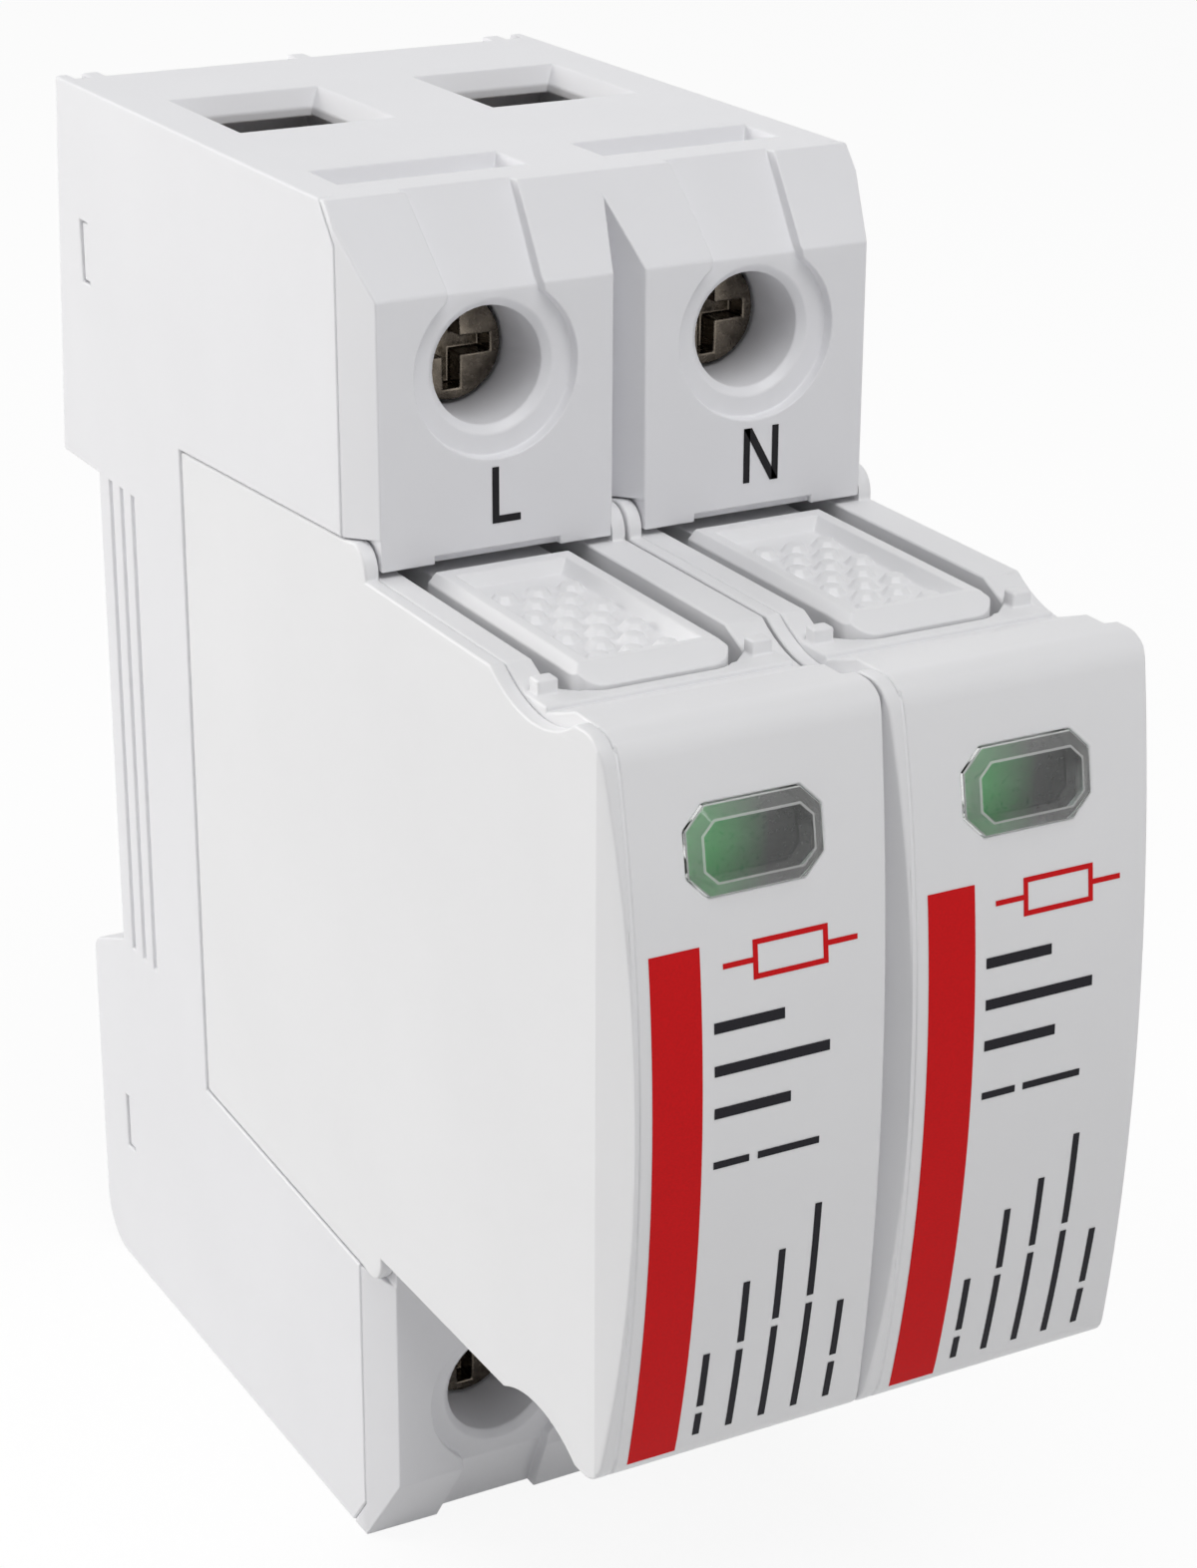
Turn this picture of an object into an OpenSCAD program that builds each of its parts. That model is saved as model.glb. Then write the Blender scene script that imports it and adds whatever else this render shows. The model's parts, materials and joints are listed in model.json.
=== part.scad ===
// Two-pole surge arrester for a top-hat rail: a base with screw terminals and two plug-in modules.
// X runs across the poles, -Y points to the front and +Z up. The origin is the middle of the rail seat.

/* [Poles and rail] */
// Distance between the two poles
pole_pitch = 17.8; // [17.7:0.1:18.2]
// Width of the top-hat rail
rail_width = 35; // [34.8:0.1:35.2]
// Thickness of the rail's flange
rail_flange = 1; // [0.9:0.1:1.2]
// Free space around the rail's flange
rail_gap = 0.3; // [0.2:0.05:0.4]
// Grip of the fixed lugs behind the rail's flange
lug_grip = 1.4; // [1:0.1:1.8]
// Thickness of the fixed lugs
lug_t = 2; // [1.6:0.1:2.4]
// Width of each fixed lug
lug_w = 8; // [6:0.5:10]

/* [Base blocks] */
// Height of the upper block above the rail's middle
top_height = 44.7; // [44.4:0.1:45.5]
// Reach of the lower block below the rail's middle
bottom_height = 45.3; // [44.8:0.1:46]
// Rail seat to the front of the terminal blocks
block_depth = 44; // [43.8:0.1:44.6]
// Height of the sloped front edge
slope_h = 5.2; // [4.8:0.1:5.4]
// Depth of the upper block's sloped front edge
slope_d = 4.4; // [4:0.1:4.8]
// Depth of the lower block's sloped front edge
slope_low_d = 3.1; // [2.9:0.1:3.4]
// Width of the upright chamfer beside each pole
chamfer_w = 1.1; // [0.9:0.05:1.2]
// Depth of the upright chamfer beside each pole
chamfer_d = 3.24; // [3:0.04:3.4]
// Back of the upper block at its top edge
back_top = 4.5; // [4.2:0.1:5]
// Back of the upper block at its lower edge
back_foot = 6.8; // [6.2:0.1:7]
// Back of the lower block
back_low = 6.2; // [6:0.1:6.6]
// Rounding at the bottom of the back
heel_r = 3.7; // [3:0.1:4]
// Rounding at the top of the lower block's back
toe_r = 1.3; // [1:0.1:1.5]
// Drop of the lower block's shoulder behind the rail
toe_drop = 2; // [1.6:0.1:2.4]
// Depth of the hollows between the ribs on the back
rib_depth = 1.7; // [1.2:0.1:2]
// Width of the ribs on the back
rib_w = 1.2; // [1:0.1:1.5]
// Distance of the outer ribs from the middle
rib_x = 15.3; // [15:0.1:15.6]

/* [Module bay] */
// Half of the bay's height between the blocks
bay_half = 23.2; // [23.1:0.05:23.4]
// Rail seat to the bay's back wall
bay_back = 15.3; // [15:0.1:15.5]
// Thickness of the bay's back wall
bay_wall = 1.3; // [1.1:0.1:1.5]
// Rise of the flared bay edge at the bay's back
flare_rear = 0.25; // [0.2:0.05:0.3]
// Rise of the flared bay edge at the side cover's front edge
flare_seam = 1.5; // [1.4:0.05:1.6]
// Rise of the flared bay edge per length in front of the covers' seam
flare_slope = 0.145; // [0.13:0.005:0.16]
// Free space around a module's plates in the bay
bay_gap = 0.12; // [0.1:0.02:0.16]
// Width of the rebate under the block's front edge
rebate_w = 8.4; // [7:0.2:9]
// Height and depth of the rebate under the block's front edge
rebate_t = 0.5; // [0.4:0.1:0.7]

/* [Terminal chambers] */
// Half of the width of a terminal chamber
chamber_half = 6.45; // [6.4:0.05:6.6]
// Rail seat to the chamber's front wall
chamber_front = 33.9; // [33.5:0.1:34.2]
// Rail seat to the chamber's back wall
chamber_back = 2.9; // [2.6:0.1:3.2]
// Thickness of the wall between the bay and the chamber
chamber_floor = 2; // [1.9:0.1:2.2]
// Thickness of the chamber's outer wall
roof_t = 1.8; // [1.7:0.1:2]

/* [Screw tunnels and recesses] */
// Offset of a terminal screw from the middle of its chamber, outwards
screw_shift = 0.55; // [0.4:0.05:0.7]
// Diameter of the screw tunnel
tunnel_d = 7.2; // [7.1:0.1:7.4]
// Width of the chamfer at the tunnel's mouth
tunnel_chamfer = 0.5; // [0.3:0.1:0.6]
// Depth of the keyhole recess round the tunnel
recess_d = 0.8; // [0.6:0.1:1]
// Radius of the keyhole recess
recess_r = 5.4; // [5:0.1:5.6]
// Half of the keyhole channel's width at the block's edge
recess_mouth = 3.75; // [3.5:0.05:4]
// Half of the keyhole channel's width at its neck
recess_neck = 3.1; // [2.9:0.05:3.3]
// Distance of the neck from the screw
recess_reach = 5.1; // [4.9:0.1:5.3]

/* [Wire funnels and marker pockets] */
// Width of a wire funnel's mouth
funnel_w = 10.7; // [10.4:0.1:11]
// Front edge of a wire funnel, from the rail seat
funnel_front = 19.2; // [19:0.1:19.5]
// Back edge of a wire funnel, from the rail seat
funnel_back = 7.2; // [7:0.1:7.5]
// Depth of the funnel's slanted part
funnel_d = 1.2; // [1:0.1:1.4]
// Slant of the funnel's walls, sideways per depth
funnel_slant = 0.65; // [0.5:0.05:0.7]
// Half of the marker pocket's length
marker_half = 6.3; // [6:0.1:6.4]
// Front edge of the marker pocket, from the rail seat
marker_front = 35.9; // [35.7:0.1:36.2]
// Width of the marker pocket
marker_w = 4.2; // [4:0.1:4.4]
// Depth of the marker pocket
marker_d = 1.2; // [1:0.1:1.3]
// Slant of the marker pocket's walls
marker_slant = 0.3; // [0.2:0.05:0.4]

/* [Side covers] */
// Thickness of a cover's skin
cover_skin = 0.8; // [0.75:0.05:0.9]
// Gap at the seam in front of a cover
seam_gap = 0.12; // [0.08:0.02:0.16]
// Height of a cover's cut front corner
cover_cut_h = 2.5; // [2.2:0.1:2.8]
// Depth of a cover's cut front corner
cover_cut_d = 2; // [1.8:0.1:2.2]
// Free space round a cover's pad in the chamber
pad_gap = 0.15; // [0.1:0.05:0.2]
// Distance of the snap slots from the rail seat
snap_y = 0.5; // [0.3:0.1:0.7]
// Width of a snap slot
snap_w = 1.4; // [1.2:0.1:1.6]
// Height of a snap slot's middle above and below the rail's middle
snap_z = 33.3; // [32.5:0.1:34]
// Length of a snap slot
snap_h = 4.3; // [4:0.1:4.6]
// Free space round a snap tab
snap_gap = 0.15; // [0.1:0.05:0.2]
// Rail seat to the first groove
groove_first = 2.2; // [2:0.1:2.4]
// Distance between the grooves
groove_pitch = 2.05; // [1.9:0.05:2.2]
// Width of a groove
groove_w = 0.5; // [0.4:0.05:0.6]
// Depth of a groove
groove_d = 0.35; // [0.25:0.05:0.4]

/* [Rail latch] */
// Width of the latch's web
latch_w = 16; // [14:0.5:17]
// Width of the guide flange on each side of the latch
latch_flange = 1.5; // [1.2:0.1:1.8]
// Thickness of the guide flange
latch_flange_t = 1.5; // [1.3:0.1:1.6]
// Thickness of the latch
latch_t = 3.4; // [3.2:0.1:3.6]
// Grip of the latch behind the rail's flange
latch_grip = 2; // [1.8:0.1:2.2]
// Free space round the latch in its guide
latch_gap = 0.2; // [0.15:0.05:0.25]
// Rise of the latch's foot above the bottom of the base
latch_foot = 1.2; // [1:0.1:1.5]
// Half of the width of the spring window in the latch
latch_window = 2.6; // [2.5:0.1:2.8]
// Bottom of the base to the bottom of the spring window
window_rise = 7.3; // [7:0.1:7.5]
// Height of the spring window
window_h = 12; // [11.8:0.1:12.4]
// Height of the spring's seat
spring_seat = 1.5; // [1.3:0.1:1.7]
// Middle radius of the latch spring
spring_r = 1.4; // [1.3:0.05:1.5]
// Wire radius of the latch spring
spring_wire = 0.3; // [0.25:0.05:0.35]
// Turns of the latch spring
spring_turns = 6; // [5:1:7]
// Width of the screwdriver slot in the latch
latch_slot_w = 6; // [5:0.5:7]
// Height of the screwdriver slot in the latch
latch_slot_h = 1.8; // [1.5:0.1:2]

/* [Terminals] */
// Rail seat to the face of a terminal screw
screw_face = 37.9; // [37.7:0.1:38.2]
// Diameter of a screw's head
head_d = 6.6; // [6.4:0.1:6.7]
// Length of a screw's head
head_l = 3.4; // [3.2:0.1:3.6]
// Thread diameter of a screw
thread_d = 5; // [4.8:0.1:5.2]
// Depth of a screw's cross slot
slot_d = 1.6; // [1.4:0.1:1.8]
// Width of a screw's cross slot
slot_w = 1.1; // [1:0.05:1.2]
// Length of a screw's cross slot
slot_l = 5.2; // [4.8:0.1:5.4]
// Free space between a thread and its cage
thread_gap = 0.05; // [0.03:0.01:0.08]
// Rail seat to the front of a terminal bar
bar_front = 19.5; // [19.4:0.1:19.8]
// Thickness of a terminal bar
bar_t = 1.5; // [1.4:0.1:1.6]
// Width of a terminal bar
bar_w = 9.6; // [9.2:0.1:9.8]
// Gap between a terminal bar's end and the chamber's outer wall
bar_end_gap = 1.4; // [1.1:0.1:1.6]
// Gap between a screw's tip and its bar
tip_gap = 0.1; // [0.05:0.05:0.15]
// Outer width of a clamp cage
cage_w = 12.4; // [12.2:0.1:12.5]
// Thickness of a clamp cage's sides
cage_side = 0.9; // [0.8:0.05:0.95]
// Height of a clamp cage
cage_h = 12; // [11.8:0.1:12.1]
// Thickness of a clamp cage's threaded wall
cage_nut = 2.5; // [2.4:0.1:2.6]
// Free space between a clamp cage and its bar
cage_gap = 2; // [1.8:0.1:2.2]
// Wire space of an open clamp
wire_space = 9; // [8.8:0.1:9.2]
// Thickness of a clamp cage's pressing wall
cage_jaw = 1.5; // [1.4:0.1:1.6]

/* [Contacts] */
// Thickness of a module's blade
blade_t = 2; // [1.8:0.1:2.2]
// Height of a module's blade
blade_h = 7; // [6.6:0.1:7.2]
// Height of a blade's middle above and below the rail's middle
blade_z = 12; // [11.8:0.1:12.2]
// Rail seat to the tip of a blade
blade_tip = 5; // [4.9:0.1:5.4]
// Gap between a blade and the fork's leaves
fork_gap = 0.1; // [0.08:0.02:0.14]
// Thickness of a fork's leaf
leaf_t = 1; // [0.9:0.1:1.2]
// Rail seat to the front of a fork's leaves
leaf_front = 13; // [12.6:0.1:13.4]
// Free space round a blade in the bay's wall
blade_gap = 0.4; // [0.3:0.05:0.5]

/* [Module body] */
// Gap between the modules and to the side of the base
module_gap = 0.1; // [0.08:0.02:0.14]
// Free space above and below a module in its bay
module_clear = 0.4; // [0.35:0.05:0.5]
// Thickness of a module's side plates
plate_t = 0.95; // [0.9:0.05:1]
// Step of the ears behind the terminal blocks' front
ear_step = 0.1; // [0:0.05:0.2]
// Rounding of the ears
ear_r = 1.6; // [1.4:0.1:1.7]
// Rail seat to the apex of the nose
nose_front = 75.55; // [75.2:0.05:76]
// Radius of the nose's convex front
front_r = 94; // [90:1:98]
// Height of the nose's middle, from the rail's middle
nose_mid = -0.3; // [-0.35:0.05:-0.2]
// Half of the nose's height
nose_half = 22.95; // [22.85:0.05:23]
// Rounding between the nose's front and its ends
nose_r = 2; // [1.8:0.1:2.3]
// Rail seat to the bottom of the finger valley
valley_y = 65.2; // [65:0.1:65.4]
// Height of the finger valley's bottom above the nose's middle
valley_z = 21.45; // [21.35:0.05:21.5]
// Radius of the finger valley
valley_r = 8.6; // [8.2:0.1:9]
// Width of the nose's side bevel at the apex
bevel_w = 0.85; // [0.8:0.01:0.87]
// Depth of the nose's side bevel at the apex
bevel_d = 3; // [2.9:0.05:3.1]
// Width of the parting line on the nose
part_line = 0.14; // [0.1:0.02:0.18]
// Thickness of a module's walls
wall = 1.2; // [1.1:0.05:1.3]
// Thickness of a module's back wall
rear_wall = 1.7; // [1.5:0.1:1.9]
// Rail seat to the inside of the nose's front wall
room_front = 72.6; // [72.3:0.1:72.8]
// Half of the height inside the nose
nose_room = 20.2; // [20:0.1:20.3]
// Rail seat to the back of the room inside the nose
nose_room_back = 67.4; // [67.3:0.1:67.6]

/* [Status window] */
// Height of the window's middle
glass_z = 15.75; // [15.5:0.05:16]
// Half of the window's width
glass_half_w = 4.27; // [4.1:0.05:4.4]
// Half of the window's height
glass_half_h = 2.55; // [2.4:0.05:2.6]
// Cut of the window's corners
glass_cut = 1.25; // [1.1:0.05:1.35]
// Rise of the window above the nose's front
glass_proud = 0.55; // [0.45:0.05:0.6]
// Width of the window's bevelled rim
glass_bevel = 0.8; // [0.7:0.05:0.9]
// Depth of the window's body behind the nose's front
glass_deep = 1; // [0.9:0.05:1.1]
// Free space round the window
glass_gap = 0.06; // [0.04:0.02:0.1]

/* [Status flag] */
// Half of the flag's width
flag_half = 5.1; // [5:0.05:5.2]
// Thickness of the flag and of the fault plate
flag_t = 0.8; // [0.7:0.05:0.9]
// Rail seat to the front of the flag
flag_front = 71.2; // [71.1:0.05:71.3]
// Lower edge of the flag
flag_low = 12; // [11.8:0.1:12.2]
// Upper edge of the flag
flag_high = 19; // [18.9:0.1:19.2]
// Lower end of the flag's stem
stem_low = 7; // [6.6:0.1:7.4]
// Half of the width of the flag's stem
stem_half = 1.2; // [1:0.1:1.4]
// Gap beside the flag
flag_gap = 0.2; // [0.15:0.05:0.25]
// Width of the flag's guide posts
post_w = 1.3; // [1.2:0.1:1.5]
// Lower end of the guide posts
post_low = 3.5; // [3:0.1:4]
// Gap between the flag and the fault plate
fault_gap = 0.9; // [0.8:0.05:1]
// Lower edge of the fault plate
fault_low = 11.5; // [11.2:0.1:11.8]

/* [Varistor and disconnector] */
// Rail seat to the back of the varistor block
varistor_back = 24; // [23.5:0.1:24.5]
// Side of the square varistor block
varistor_side = 34; // [33.6:0.1:34.4]
// Thickness of the varistor block
varistor_t = 8; // [7.6:0.1:8.2]
// Sideways offset of the varistor block
varistor_x = 0.5; // [0.3:0.1:0.7]
// Rounding of the varistor block's corners
varistor_r = 2; // [1.5:0.1:2.5]
// Thickness of the contact strips
strip_t = 1; // [0.9:0.05:1.1]
// Length of the strips along the varistor block
strip_reach = 12; // [11:0.5:13]
// Rail seat to the back of the disconnect arm's foot
arm_back = 48; // [47:0.5:49]
// Rail seat to the front of the disconnect arm
arm_front = 68.5; // [68:0.1:69]
// Half of the height of the disconnect arm's foot
arm_foot = 4; // [3.5:0.1:4.5]
// Half of the height of the disconnect arm
arm_half = 2; // [1.8:0.1:2.2]
// Upper end of the disconnect arm
arm_top = 8; // [7.5:0.1:8.5]
// Thickness of the disconnect arm
arm_t = 0.8; // [0.7:0.05:0.9]

/* [Release levers] */
// Half of the thumb pad's width
pad_half = 5; // [4.9:0.05:5.1]
// Rail seat to the front of the thumb pad
pad_front = 63.85; // [63.7:0.05:64]
// Terminal blocks' front to the back of the thumb pad
pad_step = 0.5; // [0.3:0.1:0.7]
// Height of the thumb pad's top above the middle
pad_top = 22.95; // [22.9:0.05:23.05]
// Thickness of the thumb pad
pad_t = 2; // [1.9:0.1:2.1]
// Rounding of the thumb pad's front corners
pad_r = 1.6; // [1.4:0.1:1.8]
// Width of the rim along the thumb pad's sides
rim_side = 1.3; // [1.2:0.05:1.4]
// Width of the rim at the thumb pad's back
rim_back = 1.1; // [1:0.1:1.3]
// Width of the rim at the thumb pad's front
rim_front = 2; // [1.9:0.1:2.1]
// Chamfer along the thumb pad's sides
rim_chamfer = 0.55; // [0.45:0.05:0.6]
// Depth of the slope at the thumb pad's front
brow_d = 1.45; // [1.3:0.05:1.5]
// Height of the slope at the thumb pad's front
brow_h = 1; // [0.9:0.05:1.1]
// Depth of the thumb pad's panel
panel_d = 0.85; // [0.7:0.05:0.95]
// Slant of the panel's walls
panel_slant = 0.7; // [0.5:0.05:0.8]
// Base radius of a grip bump
bump_r = 0.95; // [0.85:0.05:1]
// Top radius of a grip bump
bump_tip = 0.55; // [0.45:0.05:0.6]
// Height of a grip bump
bump_h = 0.5; // [0.4:0.05:0.6]
// Distance of the grip bumps across the pad
bump_dx = 2.2; // [2.1:0.05:2.3]
// Distance of the grip bumps along the pad
bump_dy = 1.93; // [1.9:0.01:1.96]
// Back of the thumb pad to the first row of grip bumps
bump_first = 4.5; // [4.3:0.1:4.6]
// Rows of grip bumps
bump_rows = 7; // [5:2:7]
// Slot between a thumb pad and the rails beside it
slot_gap = 1.2; // [1.1:0.05:1.25]
// Front end of that slot, from the rail seat
slot_front = 62.3; // [62.2:0.1:62.5]
// Front end of the slot's taper, from the rail seat
slot_tip = 63.5; // [63.4:0.05:63.6]
// Gap round the front of the thumb pad
pad_gap_front = 0.2; // [0.15:0.05:0.25]
// Rail seat to the front of the rails' tops
rail_end = 60.2; // [60:0.1:60.4]
// Height of the ledge in front of the thumb pad
ledge_z = 21.8; // [21.7:0.05:21.85]
// Rail seat to the front of the ledge
ledge_front = 65; // [64.8:0.1:65.2]
// Step down at the front of the ledge
ledge_step = 0.35; // [0.25:0.05:0.45]
// Rail seat to the front of the ramp between the ledge and the nose
ramp_front = 68.3; // [68.1:0.1:68.5]
// Width of the stop at the front of each rail
stop_w = 1.3; // [1.2:0.05:1.4]
// Length of the stop at the front of each rail
stop_l = 1.1; // [1:0.1:1.2]
// Height of the stop above the ledge
stop_h = 0.9; // [0.8:0.05:1]
// Rail seat to a lever's pivot
pivot_y = 62.9; // [62.8:0.05:63]
// Height of a lever's pivot above the middle
pivot_z = 20.6; // [20.5:0.05:20.65]
// Diameter of a lever's pivot pins
pivot_d = 1.4; // [1.3:0.05:1.45]
// Reach of the pivot pins from the lever's middle
pivot_reach = 7.6; // [7.4:0.1:7.65]
// Clearance of the pivot pins
pivot_gap = 0.05; // [0.04:0.01:0.07]
// Half of the width of the lever's tail
tail_half = 4.2; // [4:0.1:4.4]
// Rail seat to the end of the lever's tail
tail_back = 28; // [27.5:0.1:28.5]
// Thickness of the lever's tail
tail_t = 1.4; // [1.3:0.05:1.5]
// Length of the hook on the tail
hook_l = 3; // [2.8:0.1:3.2]
// Travel of a lever in degrees
lever_travel = 2.5; // [2.4:0.1:2.6]

/* [Hidden] */

// Reach of a cutting body past the surface it cuts
over = 1;
// Middles of the two poles
line_x = -pole_pitch / 2;
neutral_x = pole_pitch / 2;
// Rail channel and the covers' front seam
channel_half = rail_width / 2 + rail_gap;
seam_y = block_depth - chamfer_d;
// Inner face of the covers' skin
skin_x = pole_pitch - cover_skin;
// Front of the modules' ears and back of the thumb pads
ear_front = block_depth - ear_step;
pad_back = block_depth + pad_step;
// Inner wall of the terminal chambers, from the rail's middle
chamber_low = bay_half + chamber_floor;
// Sides, rear and top of a module
module_half_w = pole_pitch / 2 - module_gap;
module_rear = bay_back + bay_gap;
module_half = bay_half - module_clear;
plate_in = module_half_w - plate_t;
// Start of the nose's side bevel
bevel_y = nose_front - bevel_d;
// Pocket under a release lever
pocket_half = pad_half + slot_gap;
pocket_floor = pad_top - pad_t - (pivot_y - tail_back) * sin(lever_travel) - pad_gap;
room_half = pocket_floor - wall;
// Front wall of the nose at the window and its tilt
glass_tilt = asin((glass_z - nose_mid) / front_r);
glass_y = nose_front - front_r * (1 - cos(glass_tilt));
// Levels of the latch
latch_y = rail_flange + rail_gap;
latch_top = latch_grip - rail_width / 2;
window_low = window_rise - bottom_height;
window_top = window_low + window_h;
seat_top = spring_seat + window_low;
// Facets of round edges
fine = 48;

// Points of an arc in a drawing, from angle a0 to a1 in n steps.
function arc(c, r, a0, a1, n) =
  [for (i = [0 : n]) let (a = a0 + (a1 - a0) * i / n) [c[0] + r * cos(a), c[1] + r * sin(a)]];

// Height of the block at an end of the base.
function end_height(s) = s > 0 ? top_height : bottom_height;

// Depth of the sloped front edge at an end of the base.
function slope_depth(s) = s > 0 ? slope_d : slope_low_d;

// Height of a terminal screw in a block with its edge at height h.
function screw_z(h) = (chamber_low + h - roof_t) / 2 + screw_shift;

// A list of points mirrored to the lower half, in reverse order.
function below(p) = [for (i = [len(p) - 1 : -1 : 0]) [p[i][0], -p[i][1]]];

// The flared edge of the bay up to a depth from the rail seat, moved inwards by g.
function flare_points(g, depth) = [
  [-bay_back - g, bay_half + flare_rear - g],
  [-seam_y, bay_half + flare_seam - g],
  [-depth, bay_half + flare_seam + flare_slope * (depth - seam_y) - g]
];

// Rounded end and convex front of a nose at end s in side view, drawn upwards.
nose_centre = nose_half - nose_r;
nose_turn = asin(nose_centre / (front_r - nose_r));
front_centre = front_r - nose_front;
fillet_y = front_centre - (front_r - nose_r) * cos(nose_turn);
function nose_points(s) = concat(
  arc([fillet_y, s * nose_mid + nose_centre], nose_r, 90, 180 - nose_turn, 8),
  arc([front_centre, s * nose_mid], front_r, 180 - nose_turn, 180, 12)
);

// Finger valley between a side plate and the nose at end s, drawn upwards.
function valley_points(s) =
  let (
    middle = s * nose_mid,
    centre = [-valley_y, middle + valley_z + valley_r],
    from = -asin((centre[1] - module_half) / valley_r),
    to = asin((centre[1] - middle - nose_half) / valley_r) - 180
  )
  arc(centre, valley_r, from, to, 14);

// Rails, ledge and ramp between the side plates at end s, drawn upwards.
function ledge_points(s) = [
  [-module_rear, module_half], [-rail_end, module_half], [-slot_front, ledge_z], [-ledge_front, ledge_z],
  [-ledge_front, ledge_z - ledge_step], [-ramp_front, s * nose_mid + nose_half]
];

// A side plate's flared edge and ear at one end, drawn upwards.
function ear_points() =
  let (flare = flare_points(bay_gap, ear_front - ear_r), high = flare[2][1])
  concat(
    [flare[0], flare[1]],
    arc([ear_r - ear_front, high - ear_r], ear_r, 90, 180, 6),
    [[-ear_front, module_half]]
  );

// A body with a drawing in the YZ plane, from x0 to x1.
module slab(x0, x1) {
  translate([x0, 0, 0]) rotate([90, 0, 90]) linear_extrude(x1 - x0) children();
}

// A body with a drawing in the XZ plane, from y0 to y1.
module sheet(y0, y1) {
  translate([0, y1, 0]) rotate([90, 0, 0]) linear_extrude(y1 - y0) children();
}

// A box between two corners.
module block(a, b) {
  translate(a) cube(b - a);
}

// Children at both sides, mirrored about the YZ plane.
module both_sides() {
  children();
  mirror([1, 0, 0]) children();
}

// Children at an end of the base: up for 1, mirrored down for -1.
module at_end(s) {
  if (s > 0) children();
  else mirror([0, 0, 1]) children();
}

// A pocket with slanted walls, cut down from z; the mouth runs from x0 to x1 and y0 to y1.
module pocket(x0, x1, y0, y1, z, depth, slant) {
  run = depth * slant;
  rise = over * slant;
  intersection() {
    sheet(y0 - over, y1 + over)
      polygon([[x0 - rise, z + over], [x0 + run, z - depth], [x1 - run, z - depth], [x1 + rise, z + over]]);
    slab(x0 - over, x1 + over)
      polygon([[y0 - rise, z + over], [y0 + run, z - depth], [y1 - run, z - depth], [y1 + rise, z + over]]);
  }
}

// Side view of the base without the bay.
module base_outline() {
  polygon(concat(
    [
      [back_top, top_height],
      [slope_d - block_depth, top_height],
      [-block_depth, top_height - slope_h],
      [-block_depth, slope_h - bottom_height],
      [slope_low_d - block_depth, -bottom_height]
    ],
    arc([back_low - heel_r, heel_r - bottom_height], heel_r, -90, 0, 8),
    arc([back_low - toe_r, -channel_half - toe_drop - toe_r], toe_r, 0, 70, 6),
    [
      [0, -channel_half],
      [0, channel_half],
      [back_foot, channel_half]
    ]
  ));
}

// Side view of the bay with its flared edges.
module bay_outline() {
  upper = flare_points(0, block_depth + over);
  polygon(concat(upper, below(upper)));
}

// Side view of a cover's outer edge, with its front edge moved forwards by g.
module cover_outline(g) {
  intersection() {
    base_outline();
    polygon([
      [-seam_y - g, cover_cut_h - bottom_height],
      [-seam_y - g, top_height - cover_cut_h],
      [cover_cut_d - seam_y - g, top_height],
      [back_foot + over, top_height + over],
      [back_foot + over, -bottom_height - over],
      [cover_cut_d - seam_y - g, -bottom_height]
    ]);
  }
}

// Side view of a pole's chamber: two terminal rooms joined behind the bay, shrunk by g.
module chamber_outline(g) {
  high = top_height - roof_t - g;
  low = roof_t + g - bottom_height;
  floor_z = chamber_low + g;
  rear = -chamber_back - g;
  front = g - chamber_front;
  neck = bay_wall + g - bay_back;
  polygon([
    [rear, high], [front, high], [front, floor_z], [neck, floor_z],
    [neck, -floor_z], [front, -floor_z], [front, low], [rear, low]
  ]);
}

// The keyhole recess of the terminal block at end s, drawn upwards.
module recess(s) {
  h = end_height(s);
  d = slope_depth(s);
  z0 = h - slope_h;
  face = sqrt(slope_h * slope_h + d * d);
  y1 = recess_d - block_depth;
  z1 = z0 + recess_d * (slope_h - face) / d;
  y2 = ((slope_h + over) * d + recess_d * face) / slope_h - block_depth;
  mid = screw_z(h);
  difference() {
    sheet(-block_depth - over, slope_d + over - block_depth) union() {
      translate([0, mid]) circle(recess_r, $fn = fine);
      polygon([
        [-recess_mouth, h + over], [-recess_neck, mid + recess_reach], [-recess_mouth, mid],
        [recess_mouth, mid], [recess_neck, mid + recess_reach], [recess_mouth, h + over]
      ]);
    }
    slab(-recess_r - over, recess_r + over)
      polygon([[y1, 0], [y1, z1], [y2, h + over], [over, h + over], [over, 0]]);
  }
}

// Cuts of the terminal at end s, drawn upwards: tunnel, keyhole recess, funnel, marker pocket and the rebate.
module terminal_cuts(s) {
  h = end_height(s);
  recess(s);
  translate([0, -chamber_front + over, screw_z(h)])
    rotate([90, 0, 0]) cylinder(h = block_depth - chamber_front + 2 * over, d = tunnel_d, $fn = fine);
  translate([0, recess_d + tunnel_chamfer - block_depth, screw_z(h)])
    rotate([90, 0, 0])
      cylinder(h = 2 * tunnel_chamfer, d1 = tunnel_d, d2 = tunnel_d + 4 * tunnel_chamfer, $fn = fine);
  pocket(-funnel_w / 2, funnel_w / 2, -funnel_front, -funnel_back, h, funnel_d, funnel_slant);
  inset = funnel_d * funnel_slant;
  block(
    [inset - funnel_w / 2, inset - funnel_front, h - roof_t - over],
    [funnel_w / 2 - inset, -funnel_back - inset, h]
  );
  pocket(-marker_half, marker_half, -marker_front, marker_w - marker_front, h, marker_d, marker_slant);
  block(
    [-rebate_w / 2, -block_depth - over, bay_half - over],
    [rebate_w / 2, rebate_t - block_depth, bay_half + rebate_t]
  );
}

// Hollows between the ribs on the back of the upper block, from x0 to x1.
module back_hollow(x0, x1) {
  slab(x0, x1) polygon([
    [back_top - rib_depth, top_height + over], [back_foot - rib_depth, channel_half + lug_t],
    [back_foot + over, channel_half + lug_t], [back_top + over, top_height + over]
  ]);
}

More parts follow.
